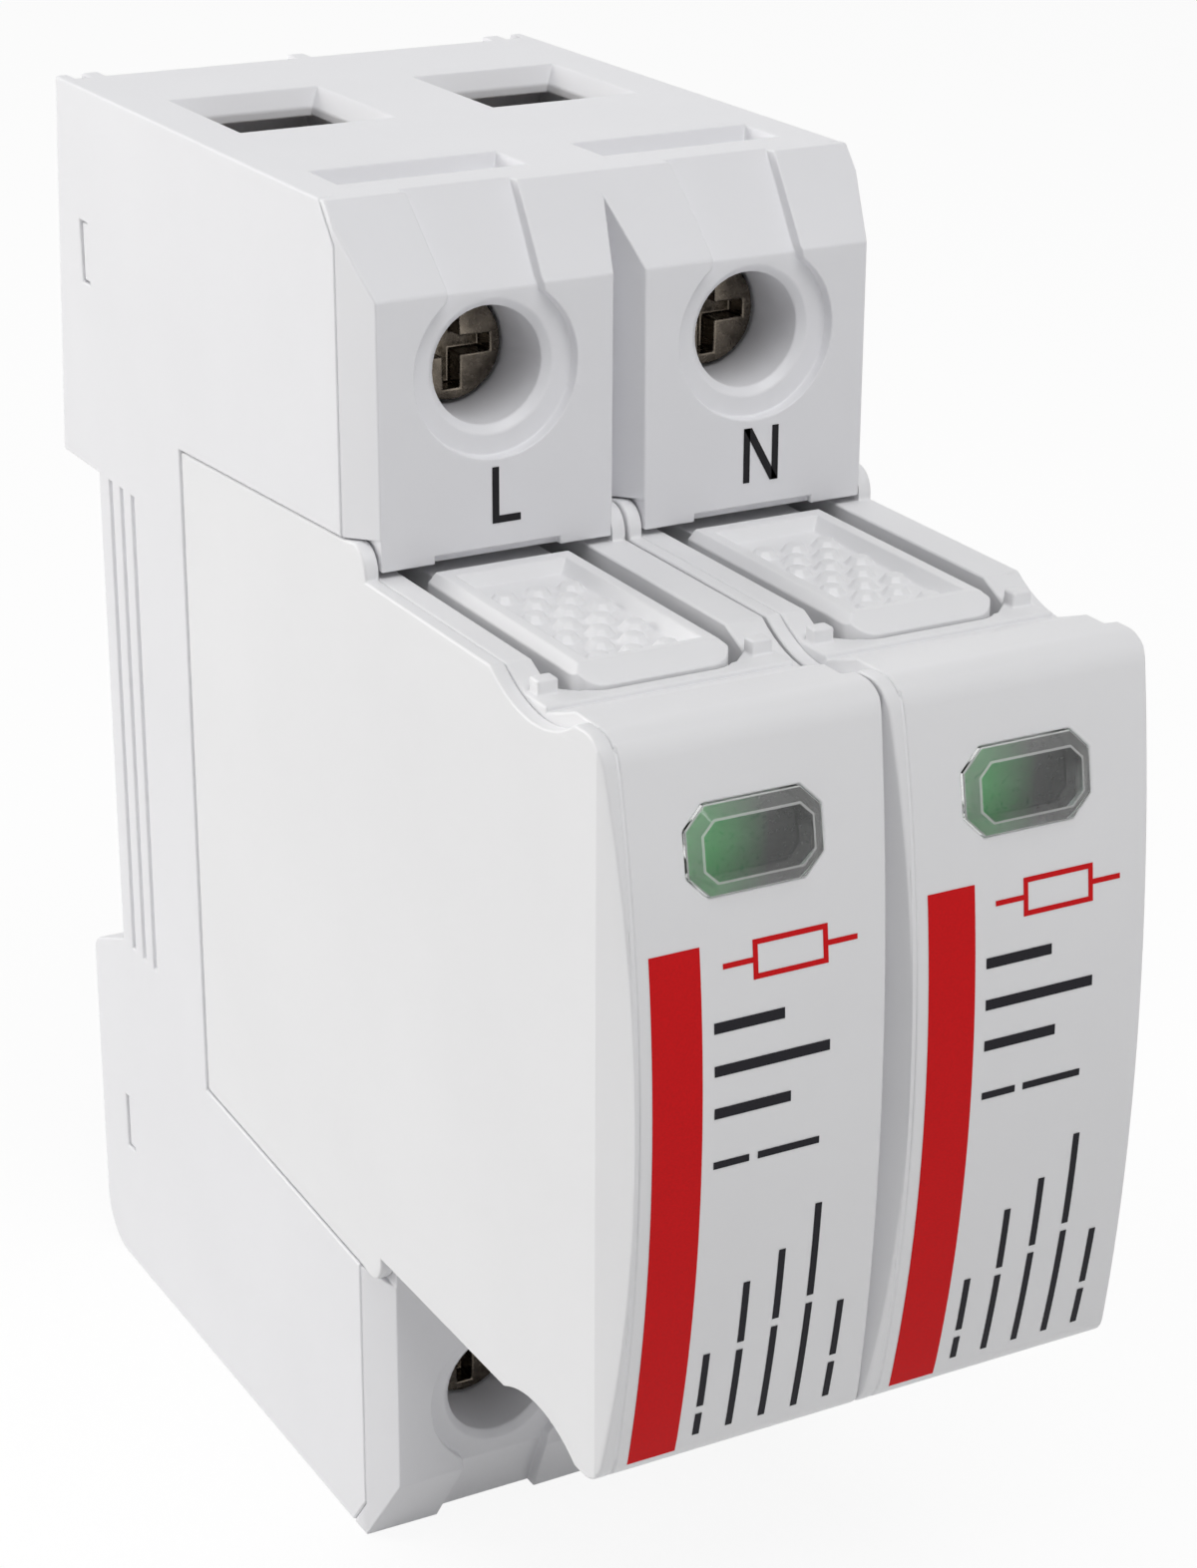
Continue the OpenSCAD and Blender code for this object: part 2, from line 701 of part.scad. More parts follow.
// The latch's cross section in plan, grown by g.
module latch_plan(g) {
  half = latch_w / 2 + g;
  wide = latch_w / 2 + latch_flange + g;
  translate([0, latch_y]) union() {
    translate([-wide, -g]) square([2 * wide, latch_flange_t + 2 * g]);
    translate([-half, -g]) square([2 * half, latch_t + 2 * g]);
  }
}

// Plan of the upright chamfer at the edge x of a pole; s is 1 at its right edge and -1 at its left one.
module chamfer_plan(x, s) {
  reach = chamfer_w * (1 + over / chamfer_d);
  polygon([
    [x, -seam_y], [x - s * reach, -block_depth - over],
    [x + s * over, -block_depth - over], [x + s * over, -seam_y]
  ]);
}

// Right pole's housing with two terminal blocks, the bay's back and half of the rail seat.
module base_housing() {
  plate_room = module_gap + plate_t + bay_gap;
  color("#e9e8ea") union() {
    difference() {
      slab(0, pole_pitch) base_outline();
      slab(skin_x, pole_pitch + over) cover_outline(seam_gap);
      slab(neutral_x - chamber_half, pole_pitch) chamber_outline(0);
      slab(-over, plate_room) bay_outline();
      slab(pole_pitch - plate_room, pole_pitch + over) bay_outline();
      back_hollow(rib_w / 2, rib_x - rib_w / 2);
      back_hollow(rib_x + rib_w / 2, pole_pitch);
      linear_extrude(4 * top_height, center = true) chamfer_plan(pole_pitch, 1);
      linear_extrude(4 * top_height, center = true) chamfer_plan(0, -1);
      block([-over, -block_depth - over, -bay_half], [pole_pitch + over, -bay_back, bay_half]);
      translate([neutral_x, 0, 0]) {
        terminal_cuts(1);
        mirror([0, 0, 1]) terminal_cuts(-1);
        for (s = [-1, 1]) block(
          [-blade_t / 2 - blade_gap, -bay_back - over, s * blade_z - blade_h / 2 - blade_gap],
          [blade_t / 2 + blade_gap, bay_wall + over - bay_back, s * blade_z + blade_h / 2 + blade_gap]
        );
      }
      translate([0, 0, -bottom_height - over]) linear_extrude(bottom_height) latch_plan(latch_gap);
      block([-over, latch_y, -bottom_height - over], [latch_w / 2 + latch_gap, back_low + over, 0]);
    }
    for (s = [-1, 1]) block(
      [skin_x - over, snap_y + snap_gap - snap_w / 2, s * snap_z + snap_gap - snap_h / 2],
      [pole_pitch - snap_gap, snap_y - snap_gap + snap_w / 2, s * snap_z - snap_gap + snap_h / 2]
    );
    block(
      [neutral_x - lug_w / 2, latch_y, channel_half - lug_grip],
      [neutral_x + lug_w / 2, latch_y + lug_t, channel_half + over]
    );
    block(
      [0, latch_y - over, latch_gap + window_low],
      [latch_window - latch_gap, latch_y + latch_t, seat_top]
    );
  }
}

// Cover on the right side of the base; the left one is its mirror image.
module side_cover() {
  color("#edecee") difference() {
    union() {
      slab(skin_x, pole_pitch) difference() {
        cover_outline(0);
        bay_outline();
      }
      slab(neutral_x + chamber_half, skin_x) chamber_outline(pad_gap);
    }
    for (s = [-1, 1]) block(
      [skin_x - over, snap_y - snap_w / 2, s * snap_z - snap_h / 2],
      [pole_pitch + over, snap_y + snap_w / 2, s * snap_z + snap_h / 2]
    );
    for (i = [0 : 2]) block(
      [pole_pitch - groove_d, -groove_first - i * groove_pitch - groove_w / 2, -channel_half],
      [pole_pitch + over, -groove_first - i * groove_pitch + groove_w / 2, channel_half]
    );
  }
}

// Slider behind the lower block that hooks under the rail.
module rail_latch() {
  lead = latch_t - rail_gap;
  color("#3c3d40") difference() {
    union() {
      translate([0, 0, latch_foot - bottom_height])
        linear_extrude(bottom_height - latch_foot - channel_half - toe_drop) latch_plan(0);
      slab(-latch_w / 2, latch_w / 2) polygon([
        [latch_y, -channel_half - toe_drop - over], [latch_y, latch_top], [latch_y + rail_flange, latch_top],
        [latch_y + lead, latch_top - lead], [latch_y + latch_t, -channel_half - toe_drop - over]
      ]);
    }
    block(
      [-latch_window, latch_y - over, window_low],
      [latch_window, latch_y + latch_t + over, window_top]
    );
    block(
      [-latch_slot_w / 2, latch_y - over, latch_foot + latch_slot_h - bottom_height],
      [latch_slot_w / 2, latch_y + latch_t + over, latch_foot + 2 * latch_slot_h - bottom_height]
    );
  }
}

// Coil spring between the base's seat and the top of the latch's window.
module rail_latch_spring() {
  steps = 14;
  sides = 6;
  count = spring_turns * steps;
  rise = window_top - seat_top - 2 * spring_wire;
  mid = [0, latch_y + latch_t / 2, seat_top + spring_wire];
  ring = [for (i = [0 : count], k = [0 : sides - 1])
    let (a = i * 360 / steps, b = k * 360 / sides, r = spring_r + spring_wire * cos(b))
      mid + [r * cos(a), r * sin(a), rise * i / count + spring_wire * sin(b)]];
  side_faces = [for (i = [0 : count - 1], k = [0 : sides - 1])
    let (n = (k + 1) % sides)
      [i * sides + k, i * sides + n, (i + 1) * sides + n, (i + 1) * sides + k]];
  first_cap = [for (k = [sides - 1 : -1 : 0]) k];
  last_cap = [for (k = [0 : sides - 1]) count * sides + k];
  color("#a9abae") polyhedron(ring, concat(side_faces, [first_cap, last_cap]));
}

// Terminal screw with a cross slot, facing the front.
module terminal_screw(x, s) {
  tip = bar_front + tip_gap;
  color("#8d8f93") translate([x, 0, s * screw_z(end_height(s))]) difference() {
    rotate([90, 0, 0]) union() {
      translate([0, 0, screw_face - head_l]) cylinder(h = head_l, d = head_d, $fn = fine);
      translate([0, 0, tip]) cylinder(h = screw_face - head_l - tip, d = thread_d, $fn = fine);
    }
    block([-slot_l / 2, -screw_face - over, -slot_w / 2], [slot_l / 2, slot_d - screw_face, slot_w / 2]);
    block([-slot_w / 2, -screw_face - over, -slot_l / 2], [slot_w / 2, slot_d - screw_face, slot_l / 2]);
  }
}

// Lift clamp that the screw draws to the front.
module clamp_cage(x, s) {
  front = -bar_front - cage_gap - cage_nut;
  jaw = bar_t + wire_space - bar_front;
  color("#b6b8bb") translate([x, 0, s * screw_z(end_height(s))]) difference() {
    block([-cage_w / 2, front, -cage_h / 2], [cage_w / 2, jaw + cage_jaw, cage_h / 2]);
    block([cage_side - cage_w / 2, front + cage_nut, -cage_h], [cage_w / 2 - cage_side, jaw, cage_h]);
    translate([0, front + cage_nut + over, 0]) rotate([90, 0, 0])
      cylinder(h = cage_nut + 2 * over, d = thread_d + 2 * thread_gap, $fn = fine);
  }
}

// Contact bar of one terminal with the fork for a blade.
module terminal_bar(x, s) {
  low = chamber_low;
  high = end_height(s) - roof_t - bar_end_gap;
  rear = -chamber_back;
  inner = blade_t / 2 + fork_gap;
  foot = blade_z - blade_h / 2 - over;
  color("#c98a4e") translate([x, 0, 0]) at_end(s) union() {
    slab(-bar_w / 2, bar_w / 2) polygon([
      [-bar_front, high], [-bar_front, low], [rear - bar_t, low], [rear - bar_t, foot], [rear, foot],
      [rear, low + bar_t], [bar_t - bar_front, low + bar_t], [bar_t - bar_front, high]
    ]);
    both_sides() block(
      [inner, -leaf_front, foot],
      [inner + leaf_t, rear - bar_t / 2, blade_z + blade_h / 2 + over]
    );
  }
}

// Side view of a module's body between its side plates.
module body_outline() {
  upper = concat(ledge_points(1), nose_points(1));
  lower = concat(ledge_points(-1), nose_points(-1));
  polygon(concat(upper, below(lower)));
}

// Side view of a module's side plate with its flared edges, ears and finger valleys.
module plate_outline() {
  upper = concat(ear_points(), valley_points(1), nose_points(1));
  lower = concat(ear_points(), valley_points(-1), nose_points(-1));
  polygon(concat(upper, below(lower)));
}

// Edge of the nose's bevel in plan, at depth y from the rail seat.
function bevel_x(y) = module_half_w - bevel_w * (y - bevel_y) / bevel_d;

// Plan of a module's left side cover.
module cover_plan() {
  polygon([
    [-module_half_w, -module_rear], [-module_half_w, -bevel_y],
    [-plate_in, -bevel_y - bevel_d * plate_t / bevel_w], [-plate_in, -module_rear]
  ]);
}

// Plan of a module's shell, with the parting line beside the cover.
module shell_plan() {
  tip = nose_front + over;
  polygon([
    [-plate_in, -module_rear], [-plate_in, -bevel_y],
    [part_line - plate_in, -bevel_y], [part_line - plate_in, -tip],
    [bevel_x(tip), -tip], [module_half_w, -bevel_y], [module_half_w, -module_rear]
  ]);
}

// Children placed on the nose's front at the window.
module at_window() {
  translate([0, -glass_y, glass_z]) rotate([-glass_tilt, 0, 0]) children();
}

// Front view of the window, grown by g.
module glass_outline(g) {
  w = glass_half_w + g;
  h = glass_half_h + g;
  c = glass_cut + g * (2 - sqrt(2));
  polygon([
    [-w, c - h], [c - w, -h], [w - c, -h], [w, c - h], [w, h - c], [w - c, h], [c - w, h], [-w, h - c]
  ]);
}

// Plan of a thumb pad, grown by g.
module pad_plan(g) {
  half = pad_half + g;
  r = pad_r + g;
  polygon(concat(
    [[half, g - pad_back], [-half, g - pad_back]],
    arc([r - half, pad_r - pad_front], r, 180, 270, 6),
    arc([half - r, pad_r - pad_front], r, 270, 360, 6)
  ));
}

// Room for one release lever in the shell: the slots with their tapers, the pad's front and the pivot.
module lever_room() {
  translate([0, 0, pocket_floor]) linear_extrude(top_height) union() {
    pad_plan(pad_gap_front);
    polygon([
      [-pocket_half, 0], [-pocket_half, -slot_front], [-pad_half, -slot_tip],
      [pad_half, -slot_tip], [pocket_half, -slot_front], [pocket_half, 0]
    ]);
  }
  translate([-pivot_reach - pad_gap, -pivot_y, pivot_z]) rotate([0, 90, 0])
    cylinder(h = 2 * (pivot_reach + pad_gap), d = pivot_d + 2 * pivot_gap, $fn = fine);
}

// Shell of a plug-in module with the nose, the right side plate and the rails beside the levers.
module module_shell(x) {
  inside = module_half_w - wall;
  post_in = flag_half + flag_gap;
  fault_y = flag_t + fault_gap - flag_front;
  color("#f0eff0") translate([x, 0, 0]) union() {
    difference() {
      intersection() {
        union() {
          slab(-module_half_w, plate_in) body_outline();
          slab(plate_in, module_half_w) plate_outline();
          for (s = [-1, 1]) at_end(s) both_sides() block(
            [pocket_half, -slot_front - stop_l, ledge_z - over],
            [pocket_half + stop_w, -slot_front, ledge_z + stop_h]
          );
        }
        linear_extrude(4 * top_height, center = true) shell_plan();
      }
      block([-module_half_w, -room_front, -room_half], [inside, -module_rear - rear_wall, room_half]);
      block([-module_half_w, -room_front, -nose_room], [inside, -nose_room_back, nose_room]);
      lever_room();
      mirror([0, 0, 1]) lever_room();
      at_window() sheet(-over, glass_y - room_front + 2 * over) glass_outline(glass_gap);
      for (s = [-1, 1]) block(
        [-blade_t / 2, -module_rear - rear_wall - over, s * blade_z - blade_h / 2],
        [blade_t / 2, 0, s * blade_z + blade_h / 2]
      );
    }
    both_sides() block(
      [post_in, -room_front, post_low], [post_in + post_w, fault_y + flag_t, nose_room]
    );
    for (s = [-1, 1], y = [varistor_back + varistor_side / 4, varistor_back + varistor_side * 3 / 4]) block(
      [-plate_in + wall, -y - wall, s > 0 ? varistor_side / 2 : -room_half],
      [inside, wall - y, s > 0 ? room_half : -varistor_side / 2]
    );
  }
}

// Left side cover of a module with its plate, ears and bevel.
module module_cover(x) {
  color("#f4f3f4") translate([x, 0, 0]) intersection() {
    slab(-module_half_w, over) plate_outline();
    linear_extrude(4 * top_height, center = true) cover_plan();
  }
}

// Clear window with a bevelled rim.
module status_window(x) {
  color("#cfe3dc", 0.5) translate([x, 0, 0]) at_window() union() {
    sheet(0, glass_deep) glass_outline(0);
    hull() {
      sheet(-glass_gap, 0) glass_outline(0);
      sheet(-glass_proud, -glass_proud + glass_gap) glass_outline(-glass_bevel);
    }
  }
}

// Green flag behind the window with its stem.
module status_flag(x) {
  color("#37b26b") translate([x, 0, 0]) union() {
    block([-flag_half, -flag_front, flag_low], [flag_half, flag_t - flag_front, flag_high]);
    block([-stem_half, -flag_front, stem_low], [stem_half, flag_t - flag_front, flag_low]);
  }
}

// Red plate that shows once the flag has dropped.
module fault_plate(x) {
  y = flag_t + fault_gap - flag_front;
  half = flag_half + flag_gap;
  color("#c4392f") translate([x, 0, 0]) block([-half, y, fault_low], [half, y + flag_t, nose_room]);
}

// Varistor block inside a module.
module varistor(x) {
  y0 = -varistor_back - varistor_side;
  z0 = varistor_side / 2;
  c = [[y0 + varistor_r, z0 - varistor_r], [-varistor_back - varistor_r, z0 - varistor_r]];
  upper = concat(
    arc(c[0], varistor_r, 180, 90, 6),
    arc(c[1], varistor_r, 90, 0, 6)
  );
  color("#2d4f7c") translate([x + varistor_x, 0, 0]) slab(-varistor_t / 2, varistor_t / 2)
    polygon(concat(upper, below(upper)));
}

// Blade contact of a module; the upper one (s = 1) stands on the block's right face, the lower on its left.
module blade(x, s) {
  face = varistor_t / 2 + s * varistor_x;
  root = -module_rear - rear_wall;
  end = -varistor_back - strip_reach;
  half = blade_t / 2;
  color("#c9905a") translate([x, 0, s * blade_z - blade_h / 2]) mirror([s > 0 ? 0 : 1, 0, 0])
    linear_extrude(blade_h) polygon([
      [-half, -blade_tip], [half, -blade_tip], [half, root], [face + strip_t, root],
      [face + strip_t, end], [face, end], [face, root - strip_t], [-half, root - strip_t]
    ]);
}

// Sprung arm soldered to the varistor block, which lets the flag drop when the solder melts.
module disconnect_arm(x) {
  face = varistor_x - varistor_t / 2;
  end = varistor_back + varistor_side;
  color("#b98d4a") translate([x, 0, 0]) slab(face - arm_t, face) polygon([
    [-arm_back, -arm_foot], [-arm_back, arm_foot], [-end, arm_foot], [-end, arm_half],
    [arm_half * 2 - arm_front, arm_half], [arm_half * 2 - arm_front, arm_top],
    [-arm_front, arm_top], [-arm_front, -arm_half], [-end, -arm_half], [-end, -arm_foot]
  ]);
}

// Release lever with its thumb pad in front, its pivot pins and its hooked tail.
module release_lever(x, s) {
  low = pad_top - pad_t;
  tail_top = low + tail_t;
  side = pad_half - rim_chamfer;
  neck = pad_half - pad_r;
  brow = brow_d - pad_front;
  fall = brow_h * (brow_d + over) / brow_d;
  color("#f2f1f2") translate([x, 0, 0]) at_end(s) union() {
    difference() {
      translate([0, 0, low]) linear_extrude(pad_t) pad_plan(0);
      both_sides() sheet(-pad_front - over, over - pad_back) polygon([
        [side, pad_top], [side, pad_top + over], [pad_half + over, pad_top + over],
        [pad_half + over, pad_top - rim_chamfer - over]
      ]);
      slab(-pad_half - over, pad_half + over) polygon([
        [brow, pad_top], [brow, pad_top + over],
        [-pad_front - over, pad_top + over], [-pad_front - over, pad_top - fall]
      ]);
      pocket(
        rim_side - pad_half, pad_half - rim_side, rim_front - pad_front, -pad_back - rim_back,
        pad_top, panel_d, panel_slant
      );
    }
    for (i = [0 : bump_rows - 1], k = [0 : 2 - i % 2]) translate([
      (k - 1 + i % 2 / 2) * bump_dx, -pad_back - bump_first - i * bump_dy, pad_top - panel_d
    ]) cylinder(h = bump_h, r1 = bump_r, r2 = bump_tip, $fn = 8);
    block(
      [-neck, pad_gap - pad_front, pivot_z - pivot_d / 2],
      [neck, pivot_d / 2 - pivot_y, low + pad_gap]
    );
    slab(-tail_half, tail_half) polygon([
      [-pad_back - over, low], [-pad_back - over, tail_top], [-tail_back - hook_l, tail_top],
      [-tail_back - hook_l, module_half], [hook_l / 3 - tail_back - hook_l, module_half],
      [-tail_back, tail_top], [-tail_back, low]
    ]);
    translate([-pivot_reach, -pivot_y, pivot_z]) rotate([0, 90, 0])
      cylinder(h = 2 * pivot_reach, d = pivot_d, $fn = fine);
  }
}

mirror([1, 0, 0]) base_housing();  // base_housing_line
base_housing();  // base_housing_neutral
mirror([1, 0, 0]) side_cover();  // side_cover_left
side_cover();  // side_cover_right
rail_latch();
rail_latch_spring();
terminal_screw(line_x, 1);  // terminal_screw_line_top
terminal_screw(neutral_x, 1);  // terminal_screw_neutral_top
terminal_screw(line_x, -1);  // terminal_screw_line_bottom
terminal_screw(neutral_x, -1);  // terminal_screw_neutral_bottom
clamp_cage(line_x, 1);  // clamp_cage_line_top
clamp_cage(neutral_x, 1);  // clamp_cage_neutral_top
clamp_cage(line_x, -1);  // clamp_cage_line_bottom
clamp_cage(neutral_x, -1);  // clamp_cage_neutral_bottom
terminal_bar(line_x, 1);  // terminal_bar_line_top
terminal_bar(neutral_x, 1);  // terminal_bar_neutral_top
terminal_bar(line_x, -1);  // terminal_bar_line_bottom
terminal_bar(neutral_x, -1);  // terminal_bar_neutral_bottom
module_shell(line_x);  // module_shell_line
module_shell(neutral_x);  // module_shell_neutral
module_cover(line_x);  // module_cover_line
module_cover(neutral_x);  // module_cover_neutral
status_window(line_x);  // status_window_line
status_window(neutral_x);  // status_window_neutral
status_flag(line_x);  // status_flag_line
status_flag(neutral_x);  // status_flag_neutral
fault_plate(line_x);  // fault_plate_line
fault_plate(neutral_x);  // fault_plate_neutral
varistor(line_x);  // varistor_line
varistor(neutral_x);  // varistor_neutral
blade(line_x, 1);  // blade_top_line
blade(neutral_x, 1);  // blade_top_neutral
blade(line_x, -1);  // blade_bottom_line
blade(neutral_x, -1);  // blade_bottom_neutral
disconnect_arm(line_x);  // disconnect_arm_line
disconnect_arm(neutral_x);  // disconnect_arm_neutral
release_lever(line_x, 1);  // release_lever_top_line
release_lever(neutral_x, 1);  // release_lever_top_neutral
release_lever(line_x, -1);  // release_lever_bottom_line
release_lever(neutral_x, -1);  // release_lever_bottom_neutral
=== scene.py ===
"""Dresses the two-pole surge arrester: softened mouldings, finishes, print, studio and camera."""

from __future__ import annotations

import json
import logging
import math
from dataclasses import dataclass
from enum import Enum

import bmesh
import bpy
from mathutils import Matrix, Vector


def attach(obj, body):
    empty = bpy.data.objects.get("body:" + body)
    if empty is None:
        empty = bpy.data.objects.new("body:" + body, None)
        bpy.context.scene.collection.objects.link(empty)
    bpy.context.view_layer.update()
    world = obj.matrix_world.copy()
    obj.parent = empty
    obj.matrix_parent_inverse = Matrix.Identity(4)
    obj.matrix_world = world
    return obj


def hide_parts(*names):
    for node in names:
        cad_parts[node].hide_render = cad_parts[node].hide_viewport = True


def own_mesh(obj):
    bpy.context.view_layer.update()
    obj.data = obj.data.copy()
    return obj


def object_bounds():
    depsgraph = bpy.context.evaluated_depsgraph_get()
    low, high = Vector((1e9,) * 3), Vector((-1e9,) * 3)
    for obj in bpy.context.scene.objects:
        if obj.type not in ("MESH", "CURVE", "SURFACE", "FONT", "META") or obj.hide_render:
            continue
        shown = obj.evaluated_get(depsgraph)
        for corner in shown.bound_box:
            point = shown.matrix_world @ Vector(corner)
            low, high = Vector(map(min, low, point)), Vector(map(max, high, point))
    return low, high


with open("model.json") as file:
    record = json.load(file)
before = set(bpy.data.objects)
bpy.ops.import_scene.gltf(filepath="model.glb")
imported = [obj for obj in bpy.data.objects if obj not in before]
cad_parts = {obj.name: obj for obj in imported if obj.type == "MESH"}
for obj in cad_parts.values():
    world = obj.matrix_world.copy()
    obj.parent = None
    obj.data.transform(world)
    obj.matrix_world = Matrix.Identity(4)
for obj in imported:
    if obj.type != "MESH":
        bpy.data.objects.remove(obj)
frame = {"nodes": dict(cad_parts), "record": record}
CAD_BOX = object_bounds()

Point = tuple[float, float]
Triple = tuple[float, float, float]
Colour = tuple[float, float, float]
Box = tuple[float, float, float, float]

LOG = logging.getLogger("surge_arrester")
MM = 0.001
COARSE_DETAIL = 3
FINE_DETAIL = 2
PATTERN_ENDS: Point = (0.3, 0.7)


class Pole(Enum):
    """The two poles and the X of their middles in millimetres."""

    LINE = ("line", -8.9)
    NEUTRAL = ("neutral", 8.9)

    @property
    def tag(self) -> str:
        """Name of the pole as it stands in node and body names."""
        return self.value[0]

    @property
    def x(self) -> float:
        """Middle of the pole in millimetres."""
        return self.value[1]


class End(Enum):
    """The two ends of the base and of a module."""

    TOP = "top"
    BOTTOM = "bottom"

    @property
    def tag(self) -> str:
        """Name of the end as it stands in node and body names."""
        return self.value


class Side(Enum):
    """The two sides of the base, with the sign of their X."""

    LEFT = ("left", -1)
    RIGHT = ("right", 1)

    @property
    def tag(self) -> str:
        """Name of the side as it stands in node names."""
        return self.value[0]

    @property
    def sign(self) -> int:
        """Sign of the side's X."""
        return self.value[1]


class ShaderBoard:
    """One material with a Principled shader and the few nodes that its finish needs."""

    def __init__(self, name: str) -> None:
        """Starts a new material.

        Args:
            name: Name of the material.
        """
        self.material = bpy.data.materials.new(name)
        self.material.use_nodes = True
        self.tree = self.material.node_tree
        self.shader = self.tree.nodes["Principled BSDF"]
        self.coords = self.add("ShaderNodeTexCoord").outputs["Object"]

    def add(self, kind: str) -> bpy.types.Node:
        """Adds one node of the given kind."""
        return self.tree.nodes.new(kind)

    def link(self, source: bpy.types.NodeSocket, target: bpy.types.NodeSocket) -> None:
        """Joins two sockets."""
        self.tree.links.new(source, target)

    def set(self, **values: float | tuple[float, ...]) -> None:
        """Writes constant values on the shader's own sockets.

        Args:
            **values: Socket names with underscores for spaces, and their values.
        """
        for name, value in values.items():
            self.shader.inputs[name.replace("_", " ")].default_value = value

    def noise(
        self, size_mm: float, detail: float, stretch: Triple = (1, 1, 1)
    ) -> bpy.types.NodeSocket:
        """Adds a noise pattern in the piece's own space.

        Args:
            size_mm: Size of one patch in millimetres.
            detail: Octaves of finer noise.
            stretch: Factors on the pattern's frequency along X, Y and Z.

        Returns:
            The pattern's value socket.
        """
        mapping = self.add("ShaderNodeMapping")
        mapping.inputs["Scale"].default_value = stretch
        self.link(self.coords, mapping.inputs["Vector"])
        node = self.add("ShaderNodeTexNoise")
        node.inputs["Scale"].default_value = 1 / (size_mm * MM)
        node.inputs["Detail"].default_value = detail
        self.link(mapping.outputs["Vector"], node.inputs["Vector"])
        return node.outputs["Fac"]

    def spread(self, value: bpy.types.NodeSocket, low: float, high: float, target: str) -> None:
        """Maps a pattern to a range and sends it to a shader socket.

        Args:
            value: Pattern between 0 and 1.
            low: Value at the pattern's dark patches.
            high: Value at the pattern's bright patches.
            target: Name of the shader's socket.
        """
        node = self.add("ShaderNodeMapRange")
        node.inputs["From Min"].default_value = PATTERN_ENDS[0]
        node.inputs["From Max"].default_value = PATTERN_ENDS[1]
        node.inputs["To Min"].default_value = low
        node.inputs["To Max"].default_value = high
        self.link(value, node.inputs["Value"])
        self.link(node.outputs["Result"], self.shader.inputs[target])

    def tint(
        self,
        value: bpy.types.NodeSocket,
        first: Colour,
        second: Colour,
        ends: Point = PATTERN_ENDS,
    ) -> None:
        """Blends two colours by a pattern into the base colour.

        Args:
            value: Pattern that drives the blend.
            first: Colour at the low end.
            second: Colour at the high end.
            ends: Pattern values of the two ends.
        """
        ramp = self.add("ShaderNodeValToRGB")
        low, high = ramp.color_ramp.elements
        low.position, high.position = ends
        low.color = (*first, 1)
        high.color = (*second, 1)
        self.link(value, ramp.inputs["Fac"])
        self.link(ramp.outputs["Color"], self.shader.inputs["Base Color"])

    def relief(self, value: bpy.types.NodeSocket, strength: float, depth_mm: float) -> None:
        """Adds a fine surface relief.

        Args:
            value: Height pattern.
            strength: Strength of the relief.
            depth_mm: Depth of the relief in millimetres.
        """
        bump = self.add("ShaderNodeBump")
        bump.inputs["Strength"].default_value = strength
        bump.inputs["Distance"].default_value = depth_mm * MM
        self.link(value, bump.inputs["Height"])
        self.link(bump.outputs["Normal"], self.shader.inputs["Normal"])


@dataclass(frozen=True)
class MouldedPlastic:
    """Satin moulded plastic with faint clouds and a fine spark-eroded grain."""

    name: str
    slot: str
    colour: Colour
    cloud: float = 0.975
    cloud_mm: float = 14.0
    roughness: float = 0.42
    swing: float = 0.06
    grain_mm: float = 0.16
    grain: float = 0.10
    grain_depth: float = 0.02
    ior: float = 1.5

    def build(self) -> bpy.types.Material:
        """Makes the material.

        Returns:
            The finished material.
        """
        board = ShaderBoard(self.name)
        darker = tuple(c * self.cloud for c in self.colour)
        board.tint(board.noise(self.cloud_mm, COARSE_DETAIL), darker, self.colour)
        fine = board.noise(self.grain_mm, FINE_DETAIL)
        board.spread(fine, self.roughness - self.swing, self.roughness + self.swing, "Roughness")
        board.relief(fine, self.grain, self.grain_depth)
        board.set(IOR=self.ior)
        return board.material


@dataclass(frozen=True)
class PlatedMetal:
    """Bare or plated metal with drawn streaks and a few duller patches."""

    name: str
    slot: str
    colour: Colour
    roughness: float = 0.3
    smoother: float = 0.08
    rougher: float = 0.14
    patch: float = 0.75
    patch_mm: float = 1.6
    streak: Triple = (1, 0.1, 1)
    streak_mm: float = 0.3
    relief: float = 0.15
    relief_depth: float = 0.02

    def build(self) -> bpy.types.Material:
        """Makes the material.

        Returns:
            The finished material.
        """
        board = ShaderBoard(self.name)
        darker = tuple(c * self.patch for c in self.colour)
        board.tint(board.noise(self.patch_mm, COARSE_DETAIL), darker, self.colour)
        streaks = board.noise(self.streak_mm, FINE_DETAIL, self.streak)
        low, high = self.roughness - self.smoother, self.roughness + self.rougher
        board.spread(streaks, low, high, "Roughness")
        board.relief(streaks, self.relief, self.relief_depth)
        board.set(Metallic=1.0)
        return board.material


@dataclass(frozen=True)
class ClearPlastic:
    """Clear moulded plastic with a slight unevenness, and milky where it is asked for; the milky
    share is painted light.
    """

    name: str
    slot: str
    colour: Colour
    milk: float = 0.0
    haze_mm: float = 1.2
    gloss: Point = (0.02, 0.07)
    relief: float = 0.02
    relief_depth: float = 0.05
    ior: float = 1.49

    def build(self) -> bpy.types.Material:
        """Makes the material.

        Returns:
            The finished material.
        """
        board = ShaderBoard(self.name)
        haze = board.noise(self.haze_mm, FINE_DETAIL)
        board.spread(haze, *self.gloss, "Roughness")
        board.relief(haze, self.relief, self.relief_depth)
        # The share that is not transmitted is whitish diffuse, which is painted light where it is
        # used.
        board.set(Base_Color=(*self.colour, 1), IOR=self.ior, Transmission_Weight=1 - self.milk)
        return board.material


